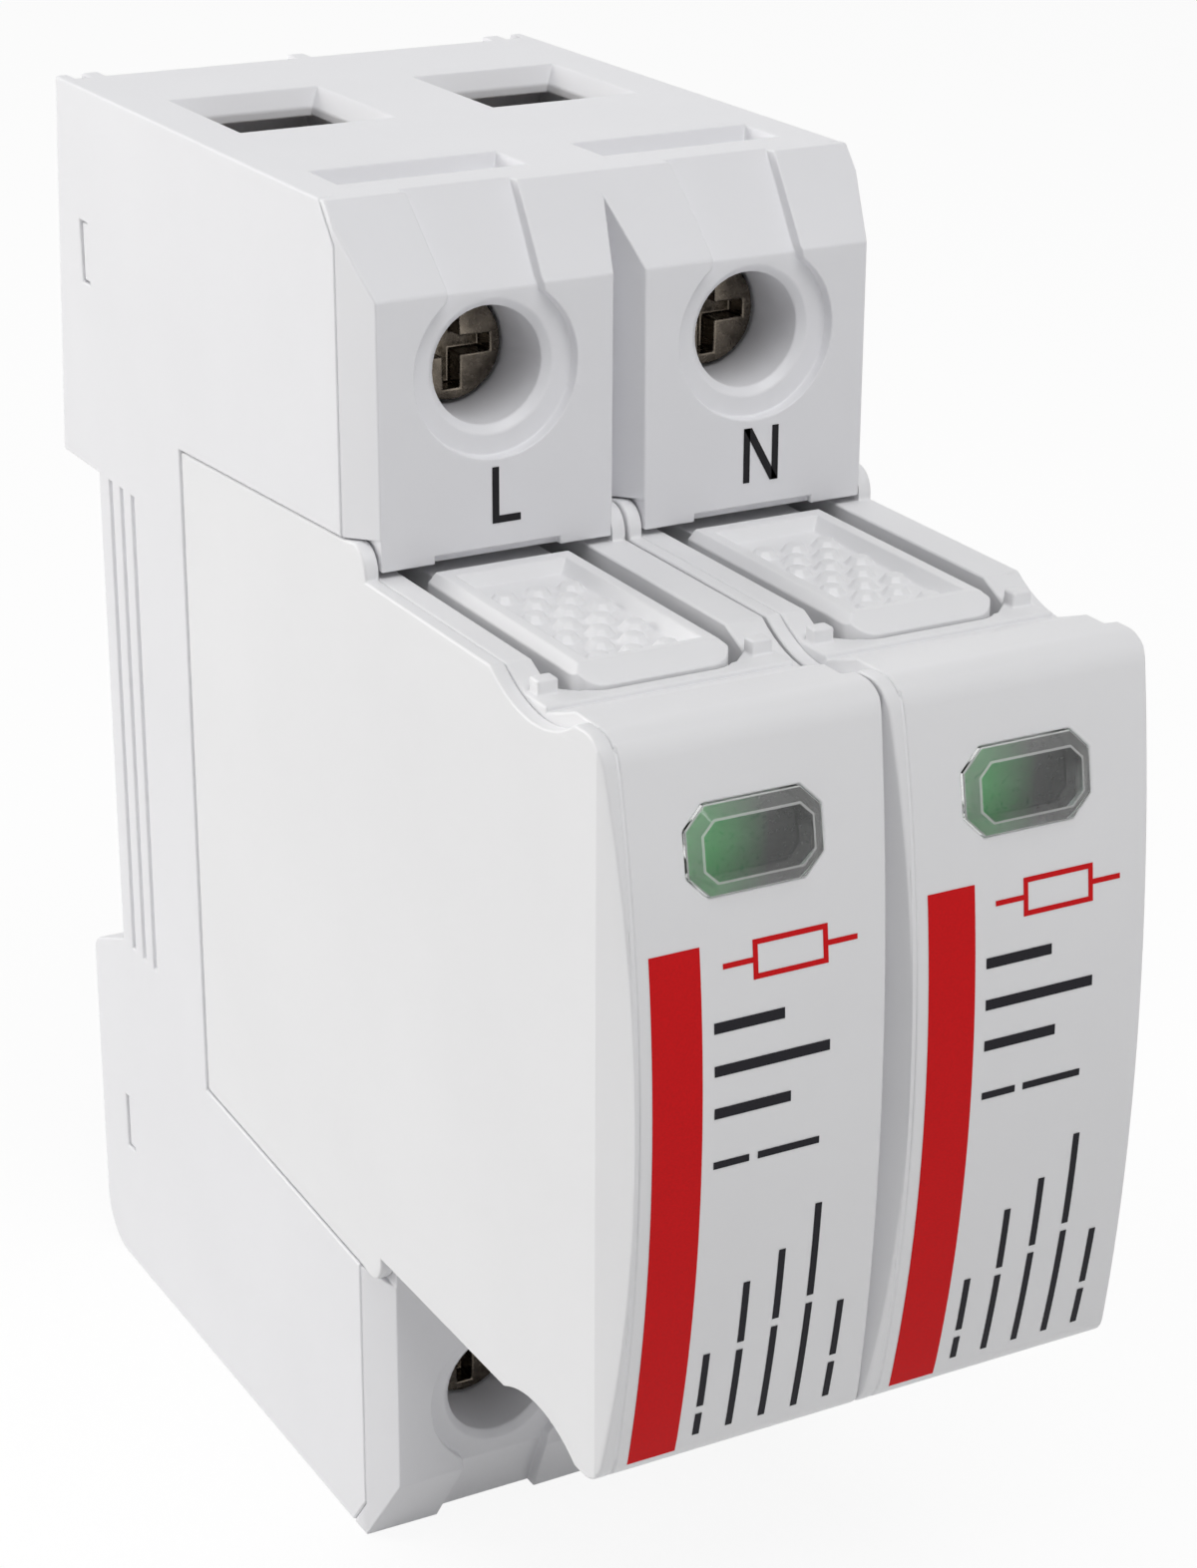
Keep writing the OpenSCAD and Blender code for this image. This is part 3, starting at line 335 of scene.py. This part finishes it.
@dataclass(frozen=True)
class ShadedPlastic:
    """Glossy coloured plastic that fades across a pole into a second colour; on the flag that
    second colour is painted shade.
    """

    name: str
    slot: str
    first: Colour
    second: Colour
    start_mm: float
    end_mm: float
    grain_mm: float = 0.3
    gloss: Point = (0.25, 0.38)
    relief: float = 0.05
    relief_depth: float = 0.02

    def build(self) -> bpy.types.Material:
        """Makes the material.

        Returns:
            The finished material.
        """
        board = ShaderBoard(self.name)
        parts = board.add("ShaderNodeSeparateXYZ")
        board.link(board.coords, parts.inputs["Vector"])
        # Blend along X from the first colour into the second, which is the painted shade.
        run = board.add("ShaderNodeMapRange")
        run.inputs["From Min"].default_value = self.start_mm * MM
        run.inputs["From Max"].default_value = self.end_mm * MM
        board.link(parts.outputs["X"], run.inputs["Value"])
        board.tint(run.outputs["Result"], self.first, self.second, (0.0, 1.0))
        fine = board.noise(self.grain_mm, FINE_DETAIL)
        board.spread(fine, *self.gloss, "Roughness")
        board.relief(fine, self.relief, self.relief_depth)
        return board.material


@dataclass(frozen=True)
class PrintedInk:
    """Pad-printed ink, a little uneven."""

    name: str
    slot: str
    colour: Colour
    roughness: float = 0.5
    swing: float = 0.08
    sheen: float = 0.1
    speck: float = 0.87
    speck_mm: float = 0.12
    relief: float = 0.06
    relief_depth: float = 0.01

    def build(self) -> bpy.types.Material:
        """Makes the material.

        Returns:
            The finished material.
        """
        board = ShaderBoard(self.name)
        darker = tuple(c * self.speck for c in self.colour)
        specks = board.noise(self.speck_mm, COARSE_DETAIL)
        board.tint(specks, darker, self.colour)
        board.spread(specks, self.roughness - self.swing, self.roughness + self.swing, "Roughness")
        board.relief(specks, self.relief, self.relief_depth)
        board.set(Specular_IOR_Level=self.sheen)
        return board.material


Finish = MouldedPlastic | PlatedMetal | ClearPlastic | ShadedPlastic | PrintedInk

BASE_PLASTIC = MouldedPlastic("base_white", "base_plastic", (0.86, 0.86, 0.885))
MODULE_PLASTIC = MouldedPlastic("module_white", "module_plastic", (0.87, 0.87, 0.885))
LATCH_PLASTIC = MouldedPlastic("latch_black", "latch_plastic", (0.05, 0.05, 0.055), roughness=0.5)
VARISTOR_BLUE = MouldedPlastic(
    "varistor_blue", "varistor_coating", (0.04, 0.10, 0.26), roughness=0.3
)
SCREW_STEEL = PlatedMetal(
    "screw_bronzed", "screw_steel", (0.21, 0.18, 0.145), roughness=0.24, patch=0.4
)
CAGE_STEEL = PlatedMetal("cage_zinc", "cage_steel", (0.55, 0.55, 0.56), roughness=0.35)
SPRING_STEEL = PlatedMetal("spring_wire", "spring_steel", (0.50, 0.50, 0.52))
CONTACT_BRASS = PlatedMetal("contact_brass", "contact_brass", (0.70, 0.48, 0.24))
CLEAR = ClearPlastic("window_clear", "clear_plastic", (0.97, 0.99, 0.98))
# Milky window finishes: painted brightness for the rim's refracted light, and painted highlights
# on its rounded edges.
CLEAR_RIM_PAINTED_LIGHT = ClearPlastic("window_rim_painted_light", "clear_plastic", (0.95, 0.96, 0.95), milk=0.1)
CLEAR_EDGE_PAINTED_HIGHLIGHT = ClearPlastic("window_edge_painted_highlight", "clear_plastic", (0.92, 0.93, 0.92), milk=0.4)
FAULT_RED = PrintedInk("fault_red", "red_plastic", (0.55, 0.03, 0.03), roughness=0.35)
PRINT_RED = PrintedInk("print_red", "module_plastic", (0.72, 0.009, 0.012))
PRINT_BLACK = PrintedInk("print_black", "module_plastic", (0.022, 0.021, 0.026))
LETTER_BLACK = PrintedInk("letter_black", "base_plastic", (0.022, 0.021, 0.024))


def mark_smooth(
    board: bmesh.types.BMesh,
    crease_deg: float = 38,
    broad_deg: float = 12,
    broad_mm2: float = 4,
) -> None:
    """Shades a mesh smooth and keeps its creases sharp.

    Args:
        board: The working mesh.
        crease_deg: Edges that turn by more than this stay sharp.
        broad_deg: The same limit for an edge between two broad faces.
        broad_mm2: Area from which a face is broad.
    """
    broad = {face for face in board.faces if face.calc_area() > broad_mm2 * MM * MM}
    for face in board.faces:
        face.smooth = True
    for edge in board.edges:
        limit = broad_deg if all(face in broad for face in edge.link_faces) else crease_deg
        turn = edge.calc_face_angle(0.0)
        edge.smooth = len(edge.link_faces) == 2 and turn < math.radians(limit)


def close_mesh(board: bmesh.types.BMesh, name: str) -> bpy.types.Mesh:
    """Turns a working mesh into a named mesh and frees it.

    Args:
        board: The working mesh.
        name: Name of the new mesh.

    Returns:
        The new mesh.
    """
    mesh = bpy.data.meshes.new(name)
    board.to_mesh(mesh)
    board.free()
    return mesh


class Workshop:
    """Makes pieces, keeps one material per finish and hangs every piece on its body."""

    weld_mm = 0.002
    flat_deg = 0.3
    plane_mm = 0.02
    round_from_deg = 25
    round_steps = 3

    def __init__(self) -> None:
        """Reads which body each node belongs to."""
        bodies = frame["record"]["behaviour"]["bodies"]
        self.body_of = {node: body for body, nodes in bodies.items() for node in nodes}
        self.materials: dict[str, bpy.types.Material] = {}

    def material(self, finish: Finish) -> bpy.types.Material:
        """Gives the material of a finish and makes it on first use.

        Args:
            finish: The finish.

        Returns:
            The material.
        """
        if finish.name not in self.materials:
            self.materials[finish.name] = finish.build()
        return self.materials[finish.name]

    def hang(
        self, name: str, mesh: bpy.types.Mesh, finish: Finish, body: str
    ) -> bpy.types.Object:
        """Turns a mesh into a piece that rides on a body.

        Args:
            name: Name of the piece.
            mesh: The piece's mesh, in its place at rest.
            finish: Its finish.
            body: The body it rides on.

        Returns:
            The new piece.
        """
        piece = bpy.data.objects.new(name, mesh)
        bpy.context.scene.collection.objects.link(piece)
        mesh.materials.clear()
        mesh.materials.append(self.material(finish))
        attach(piece, body)
        LOG.info("piece %s on %s", name, body)
        return piece

    def paint(self, node: str, finish: Finish) -> None:
        """Gives a CAD node a finish and leaves its shape.

        Args:
            node: Name of the node.
            finish: Its finish.
        """
        piece = frame["nodes"][node]
        for place in piece.material_slots:
            place.material = self.material(finish)
        LOG.info("finish %s on %s", finish.name, node)

    def edges_to_round(
        self, board: bmesh.types.BMesh, joints_x: tuple[float, ...]
    ) -> list[bmesh.types.BMEdge]:
        """Finds the edges that turn sharply and don't lie in the plane of a joint.

        Args:
            board: The working mesh.
            joints_x: The joints' upright planes, by their X in millimetres.

        Returns:
            The edges.
        """
        limit = math.radians(self.round_from_deg)
        edges = [e for e in board.edges if len(e.link_faces) == 2]
        edges = [e for e in edges if e.calc_face_angle(0.0) > limit]
        near = self.plane_mm * MM
        for x in joints_x:
            edges = [e for e in edges if any(abs(v.co.x - x * MM) > near for v in e.verts)]
        return edges

    def soften(
        self,
        node: str,
        finish: Finish,
        round_mm: float,
        close_mm: float = 0.05,
        joints_x: tuple[float, ...] = (),
    ) -> bpy.types.Object:
        """Makes a copy of a CAD node with rounded edges, which stands for the node.

        Args:
            node: Name of the node.
            finish: Finish of the copy.
            round_mm: Size of the rounding in millimetres.
            close_mm: Edges shorter than this are closed up first.
            joints_x: Upright planes, by their X in millimetres, whose edges stay as they are.

        Returns:
            The new piece.
        """
        board = bmesh.new()
        board.from_mesh(frame["nodes"][node].data)
        bmesh.ops.remove_doubles(board, verts=board.verts, dist=self.weld_mm * MM)
        bmesh.ops.dissolve_limit(
            board,
            angle_limit=math.radians(self.flat_deg),
            use_dissolve_boundaries=False,
            verts=board.verts,
            edges=board.edges,
        )
        bmesh.ops.dissolve_degenerate(board, dist=close_mm * MM, edges=board.edges)
        bmesh.ops.bevel(
            board,
            geom=self.edges_to_round(board, joints_x),
            offset=round_mm * MM,
            offset_type="OFFSET",
            segments=self.round_steps,
            profile=0.5,
            affect="EDGES",
            clamp_overlap=False,
        )
        mark_smooth(board)
        bmesh.ops.triangulate(board, faces=[f for f in board.faces if len(f.verts) > 4])
        name = node + "_moulding"
        piece = self.hang(name, close_mesh(board, name), finish, self.body_of[node])
        weighted = piece.modifiers.new("even_normals", "WEIGHTED_NORMAL")
        weighted.keep_sharp = True
        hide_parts(node)
        return piece


@dataclass
class TerminalBase:
    """The base with its covers, latch, screws, clamps and the terminal letters."""

    shop: Workshop
    cover_x: float = 17.0
    cover_round: float = 0.17
    housing_round: float = 0.12
    housing_close: float = 0.2
    latch_round: float = 0.15
    latch_travel: float = 4.0
    wire_crease_deg: float = 70
    screw_round: float = 0.15
    face_y: float = -44.0
    ink_t: float = 0.03
    letter_z: float = 25.2
    letter_h: float = 3.5
    stroke: float = 0.46
    slant_w: float = 1.25
    line_w: float = 1.9
    line_left: float = 0.4
    neutral_w: float = 2.5
    neutral_left: float = 0.8

    def build(self) -> None:
        """Makes every piece of the base."""
        joints = (0.0, -self.cover_x, self.cover_x)
        for pole in Pole:
            node = "base_housing_" + pole.tag
            self.shop.soften(node, BASE_PLASTIC, self.housing_round, self.housing_close, joints)
        for side in Side:
            joint = side.sign * self.cover_x
            node = "side_cover_" + side.tag
            self.shop.soften(node, BASE_PLASTIC, self.cover_round, joints_x=(joint,))
        self.shop.soften("rail_latch", LATCH_PLASTIC, self.latch_round)
        self.coil()
        for pole in Pole:
            for end in End:
                tag = f"{pole.tag}_{end.tag}"
                self.shop.soften("terminal_screw_" + tag, SCREW_STEEL, self.screw_round)
                self.shop.paint("clamp_cage_" + tag, CAGE_STEEL)
                self.shop.paint("terminal_bar_" + tag, CONTACT_BRASS)
        self.letters()

    def coil(self) -> None:
        """Makes the latch's spring, which stands on the base."""
        node = "rail_latch_spring"
        board = bmesh.new()
        board.from_mesh(frame["nodes"][node].data)
        mark_smooth(board, crease_deg=self.wire_crease_deg)
        mesh = close_mesh(board, "rail_latch_coil")
        piece = self.shop.hang("rail_latch_coil", mesh, SPRING_STEEL, "base")
        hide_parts(node)
        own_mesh(piece)

    def letters(self) -> None:
        """Prints the generic marks of the two poles under the upper screws."""
        h, s = self.letter_h, self.stroke
        stem = [(0, 0), (s, 0), (s, h), (0, h)]
        w = self.line_w
        ell = [stem, [(s, 0), (w, 0), (w, s), (s, s)]]
        w = self.neutral_w
        lean = s * self.slant_w
        second_stem = [(w - s, 0), (w, 0), (w, h), (w - s, h)]
        slant = [(0, h), (w - lean, 0), (w, 0), (lean, h)]
        enn = [stem, second_stem, slant]
        self.print_letter("letter_line", ell, Pole.LINE.x - self.line_left)
        self.print_letter("letter_neutral", enn, Pole.NEUTRAL.x - self.neutral_left)

    def print_letter(self, name: str, shapes: list[list[Point]], x: float) -> None:
        """Prints one letter on the front of a block.

        Args:
            name: Name of the piece.
            shapes: Outlines of the letter's strokes in millimetres.
            x: Left edge of the letter in millimetres.
        """
        y = self.face_y - self.ink_t
        board = bmesh.new()
        for outline in shapes:
            corners = [Vector((x + px, y, self.letter_z + pz)) * MM for px, pz in outline]
            board.faces.new([board.verts.new(corner) for corner in corners])
        bmesh.ops.triangulate(board, faces=board.faces)
        self.shop.hang(name, close_mesh(board, name), LETTER_BLACK, "base")


@dataclass(frozen=True)
class RuledRow:
    """One ruled row of the print: its height, thickness and dashes in millimetres."""

    z: float
    thick: float
    dashes: tuple[float, ...]


@dataclass
class PlugModule:
    """One plug-in module with its shell, cover, window, flag, levers and print."""

    shop: Workshop
    pole: Pole
    apex_y: float = -75.55
    front_r: float = 94.0
    nose_mid: float = -0.3
    nose_half: float = 22.95
    nose_r: float = 2.0
    plate_x: float = 7.85
    shell_round: float = 0.16
    lever_round: float = 0.1
    window_round: float = 0.08
    facing: float = -0.9
    rim_lean: Point = (0.2, 0.97)
    edge_lean: float = 0.05
    edge_mm2: float = 0.5
    flag_green: Colour = (0.02, 0.42, 0.075)
    # Near-black painted shade that the flag fades into towards its right, where the window's
    # recess shadows it.
    flag_shade: Colour = (0.009, 0.011, 0.010)
    flag_fade: Point = (-2.2, 2.4)
    seam_x: float = -7.9
    seam_w: float = 0.24
    seam_d: float = 0.1
    field_step: float = 1.0
    ink_t: float = 0.025
    strip: Box = (-6.95, -3.8, -22.05, 10.6)
    symbol_x: Point = (-2.4, 6.2)
    symbol_z: float = 9.2
    symbol_half: float = 1.15
    symbol_lead: float = 1.9
    symbol_stroke: float = 0.32
    text_x: float = -3.05
    dash_gap: float = 0.55
    rows: tuple[RuledRow, ...] = (
        RuledRow(5.4, 0.65, (4.5,)),
        RuledRow(2.85, 0.65, (7.4,)),
        RuledRow(0.3, 0.65, (4.9,)),
        RuledRow(-2.8, 0.45, (2.3, 4.0)),
    )
    column_in: float = 0.25
    column_w: float = 0.45
    column_step: float = 2.2
    column_low: float = -21.2
    columns: tuple[Point, ...] = ((1.6, 3.8), (5.6, 4.2), (6.6, 4.8), (7.6, 6.3), (2.6, 4.0))

    def build(self) -> None:
        """Makes every piece of the module."""
        tag = self.pole.tag
        joint = self.pole.x + self.plate_x
        for part in ("module_shell_", "module_cover_"):
            self.shop.soften(part + tag, MODULE_PLASTIC, self.shell_round, joints_x=(joint,))
        for end in End:
            node = f"release_lever_{end.tag}_{tag}"
            self.shop.soften(node, MODULE_PLASTIC, self.lever_round)
        self.frost_rim(self.shop.soften("status_window_" + tag, CLEAR, self.window_round))
        # The flag is green at its left and fades into painted shade across this span.
        start, stop = (self.pole.x + x for x in self.flag_fade)
        flag = ShadedPlastic(
            "flag_" + tag, "green_plastic", self.flag_green, self.flag_shade, start, stop
        )
        self.shop.paint("status_flag_" + tag, flag)
        self.shop.paint("fault_plate_" + tag, FAULT_RED)
        self.shop.paint("varistor_" + tag, VARISTOR_BLUE)
        for node in ("blade_top_", "blade_bottom_", "disconnect_arm_"):
            self.shop.paint(node + tag, CONTACT_BRASS)
        low, high = self.nose_mid - self.nose_half, self.nose_mid + self.nose_half
        seam = (self.seam_x, self.seam_x + self.seam_w, low, high)
        self.field("seam_tongue_" + tag, [seam], MODULE_PLASTIC, self.seam_d)
        self.print_front()

    def frost_rim(self, window: bpy.types.Object) -> None:
        """Gives the slanted faces round the window's front a milky painted brightness and its
        rounded edges milkier painted highlights.

        Args:
            window: The window's piece.
        """
        for finish in (CLEAR_RIM_PAINTED_LIGHT, CLEAR_EDGE_PAINTED_HIGHLIGHT):
            window.data.materials.append(self.shop.material(finish))
        faces = window.data.polygons
        broadest = max(faces, key=lambda face: face.area * (face.normal.y < self.facing))
        front = broadest.normal.copy()
        least, most = self.rim_lean
        for face in faces:
            # Small forward faces get the painted highlight finish, and slanted rim faces get the
            # painted brightness.
            lean = face.normal.dot(front)
            if lean > self.edge_lean and face.area < self.edge_mm2 * MM * MM:
                face.material_index = 2
            elif least < lean < most:
                face.material_index = 1

    def front_y(self, z: float) -> float:
        """Gives the depth of the nose's convex front, which ends in a rounded edge.

        Args:
            z: Height in millimetres.

        Returns:
            The depth in millimetres.
        """
        rise = abs(z - self.nose_mid)
        centre_y = self.apex_y + self.front_r
        inner_r = self.front_r - self.nose_r
        edge_z = self.nose_half - self.nose_r
        if rise <= edge_z * self.front_r / inner_r:
            return centre_y - math.sqrt(self.front_r**2 - rise**2)
        edge_y = centre_y - math.sqrt(inner_r**2 - edge_z**2)
        return edge_y - math.sqrt(self.nose_r**2 - (rise - edge_z) ** 2)

    def field(self, name: str, boxes: list[Box], finish: Finish, sink: float) -> None:
        """Lays upright fields of one finish along the curved front.

        Args:
            name: Name of the piece.
            boxes: Left, right, low and high edge of each field, in millimetres, with X
                from the pole's middle.
            finish: Finish of the fields.
            sink: Depth of the fields behind the front, in millimetres.
        """
        board = bmesh.new()
        for left, right, low, high in boxes:
            steps = max(1, math.ceil((high - low) / self.field_step))
            last: list[bmesh.types.BMVert] = []
            for i in range(steps + 1):
                z = low + (high - low) * i / steps
                y = self.front_y(z) + sink
                places = [Vector((self.pole.x + x, y, z)) * MM for x in (left, right)]
                row = [board.verts.new(place) for place in places]
                if last:
                    board.faces.new((last[0], last[1], row[1], row[0]))
                last = row
        mark_smooth(board)
        self.shop.hang(name, close_mesh(board, name), finish, "module_" + self.pole.tag)

    def print_front(self) -> None:
        """Prints the red strip, a plain component symbol and ruled lines on the front."""
        tag = self.pole.tag
        self.field("print_strip_" + tag, [self.strip], PRINT_RED, -self.ink_t)
        self.field("print_symbol_" + tag, self.symbol(), PRINT_RED, -self.ink_t)
        self.field("print_lines_" + tag, self.lines(), PRINT_BLACK, -self.ink_t)

    def lines(self) -> list[Box]:
        """Rules the level rows and the upright columns of dashes.

        Returns:
            Left, right, low and high edge of each dash.
        """
        dashes: list[Box] = []
        for row in self.rows:
            x = self.text_x
            for dash in row.dashes:
                dashes.append((x, x + dash, row.z, row.z + row.thick))
                x += dash + self.dash_gap
        for i, column in enumerate(self.columns):
            x = self.text_x + self.column_in + i * self.column_step
            z = self.column_low
            for dash in column:
                dashes.append((x, x + self.column_w, z, z + dash))
                z += dash + self.dash_gap
        return dashes

    def symbol(self) -> list[Box]:
        """Draws the plain circuit symbol of a resistor: a box between two leads.

        Returns:
            Left, right, low and high edge of each stroke.
        """
        left, right = self.symbol_x
        z, half, stroke = self.symbol_z, self.symbol_half, self.symbol_stroke
        box_l, box_r = left + self.symbol_lead, right - self.symbol_lead
        return [
            (left, box_l, z - stroke / 2, z + stroke / 2),
            (box_r, right, z - stroke / 2, z + stroke / 2),
            (box_l, box_r, z + half - stroke, z + half),
            (box_l, box_r, z - half, z - half + stroke),
            (box_l, box_l + stroke, z - half + stroke, z + half - stroke),
            (box_r - stroke, box_r, z - half + stroke, z + half - stroke),
        ]


@dataclass(frozen=True)
class SoftLamp:
    """One large soft lamp that looks at the object; lengths in metres, power in watts."""

    name: str
    place: Triple
    power: float
    tint: Colour = (1.0, 1.0, 1.0)
    aim: Triple = (0, -0.03, 0)
    size: float = 0.55

    def build(self) -> None:
        """Makes the lamp."""
        data = bpy.data.lights.new(self.name, "AREA")
        data.shape = "SQUARE"
        data.size = self.size
        data.energy = self.power
        data.color = self.tint
        lamp = bpy.data.objects.new(self.name, data)
        lamp.location = self.place
        way = Vector(self.aim) - Vector(self.place)
        lamp.rotation_euler = way.to_track_quat("-Z", "Y").to_euler()
        bpy.context.scene.collection.objects.link(lamp)


@dataclass(frozen=True)
class Studio:
    """Camera, soft lamps, world and the pale floor; lengths in metres."""

    camera_place: Triple = (-0.09926, -0.22216, 0.08874)
    azimuth_deg: float = -28.626
    elevation_deg: float = 21.924
    roll_deg: float = 0.188
    focal_px: float = 3501.4
    image_w: float = 1200.0
    sensor_mm: float = 36.0
    near_clip: float = 0.01
    world_front: float = 0.17
    world_back: float = 0.45
    world_turn: float = 0.6
    floor_size: float = 14.0
    floor_colour: Colour = (0.72, 0.72, 0.72)
    floor_roughness: float = 0.9
    floor_white: float = 0.86
    floor_glow: float = 1.05
    lamps: tuple[SoftLamp, ...] = (
        SoftLamp("lamp_back", (-0.64, 0.50, 0.15), 4.6, (1.0, 0.99, 0.965)),
        SoftLamp("lamp_top", (-0.03, -0.42, 0.78), 3.6),
        SoftLamp("lamp_front", (0.20, -0.80, 0.0), 0.7),
    )

    def build(self) -> None:
        """Makes the whole studio."""
        bpy.context.scene.view_settings.view_transform = "Standard"
        self.camera()
        self.world()
        self.floor()
        for lamp in self.lamps:
            lamp.build()

    def camera(self) -> None:
        """Makes the camera at the measured viewpoint."""
        data = bpy.data.cameras.new("camera")
        data.sensor_fit = "HORIZONTAL"
        data.sensor_width = self.sensor_mm
        data.lens = self.focal_px * self.sensor_mm / self.image_w
        data.clip_start = self.near_clip
        camera = bpy.data.objects.new("camera", data)
        turn = Matrix.Rotation(math.radians(self.azimuth_deg), 4, "Z")
        tilt = Matrix.Rotation(math.radians(90 - self.elevation_deg), 4, "X")
        roll = Matrix.Rotation(math.radians(self.roll_deg), 4, "Z")
        camera.matrix_world = Matrix.Translation(self.camera_place) @ turn @ tilt @ roll
        bpy.context.scene.collection.objects.link(camera)
        bpy.context.scene.camera = camera

    @staticmethod
    def seen(tree: bpy.types.NodeTree) -> bpy.types.NodeSocket:
        """Adds a value that is 1 for camera, glossy and transmission rays.

        Args:
            tree: The node tree.

        Returns:
            The value's socket.
        """
        path = tree.nodes.new("ShaderNodeLightPath")
        value = path.outputs["Is Camera Ray"]
        for name in ("Is Glossy Ray", "Is Transmission Ray"):
            either = tree.nodes.new("ShaderNodeMath")
            either.operation = "MAXIMUM"
            tree.links.new(value, either.inputs[0])
            tree.links.new(path.outputs[name], either.inputs[1])
            value = either.outputs["Value"]
        return value

    def world(self) -> None:
        """Makes the world: white where it is seen, and as a light weaker in front than behind."""
        world = bpy.data.worlds.new("studio")
        bpy.context.scene.world = world
        world.use_nodes = True
        tree = world.node_tree
        back = tree.nodes["Background"]
        back.inputs["Color"].default_value = (1, 1, 1, 1)
        coords = tree.nodes.new("ShaderNodeTexCoord")
        ways = tree.nodes.new("ShaderNodeSeparateXYZ")
        tree.links.new(coords.outputs["Generated"], ways.inputs["Vector"])
        depth = tree.nodes.new("ShaderNodeMapRange")
        depth.inputs["From Min"].default_value = -self.world_turn
        depth.inputs["From Max"].default_value = self.world_turn
        depth.inputs["To Min"].default_value = self.world_front
        depth.inputs["To Max"].default_value = self.world_back
        tree.links.new(ways.outputs["Y"], depth.inputs["Value"])
        level = tree.nodes.new("ShaderNodeMapRange")
        level.inputs["To Max"].default_value = 1.0
        tree.links.new(self.seen(tree), level.inputs["Value"])
        tree.links.new(depth.outputs["Result"], level.inputs["To Min"])
        tree.links.new(level.outputs["Result"], back.inputs["Strength"])

    def floor(self) -> None:
        """Makes the floor, which keeps a faint shadow of the object."""
        low = CAD_BOX[0][2]
        half = self.floor_size / 2
        mesh = bpy.data.meshes.new("floor")
        corners = [(-half, -half, low), (half, -half, low), (half, half, low), (-half, half, low)]
        mesh.from_pydata(corners, [], [(0, 1, 2, 3)])
        floor = bpy.data.objects.new("floor", mesh)
        bpy.context.scene.collection.objects.link(floor)
        material = bpy.data.materials.new("floor_white")
        material.use_nodes = True
        tree = material.node_tree
        shader = tree.nodes["Principled BSDF"]
        shader.inputs["Base Color"].default_value = (*self.floor_colour, 1)
        shader.inputs["Roughness"].default_value = self.floor_roughness
        glow = tree.nodes.new("ShaderNodeEmission")
        glow.inputs["Strength"].default_value = self.floor_glow
        share = tree.nodes.new("ShaderNodeMath")
        share.operation = "MULTIPLY"
        share.inputs[1].default_value = self.floor_white
        mix = tree.nodes.new("ShaderNodeMixShader")
        tree.links.new(self.seen(tree), share.inputs[0])
        tree.links.new(share.outputs["Value"], mix.inputs["Fac"])
        tree.links.new(shader.outputs["BSDF"], mix.inputs[1])
        tree.links.new(glow.outputs["Emission"], mix.inputs[2])
        tree.links.new(mix.outputs["Shader"], tree.nodes["Material Output"].inputs["Surface"])
        mesh.materials.append(material)


def main() -> None:
    """Builds the pieces in order and reports them."""
    logging.basicConfig(level=logging.INFO, format="%(name)s: %(message)s")
    shop = Workshop()
    TerminalBase(shop).build()
    for pole in Pole:
        PlugModule(shop, pole).build()
    Studio().build()


if __name__ == "__main__":
    main()
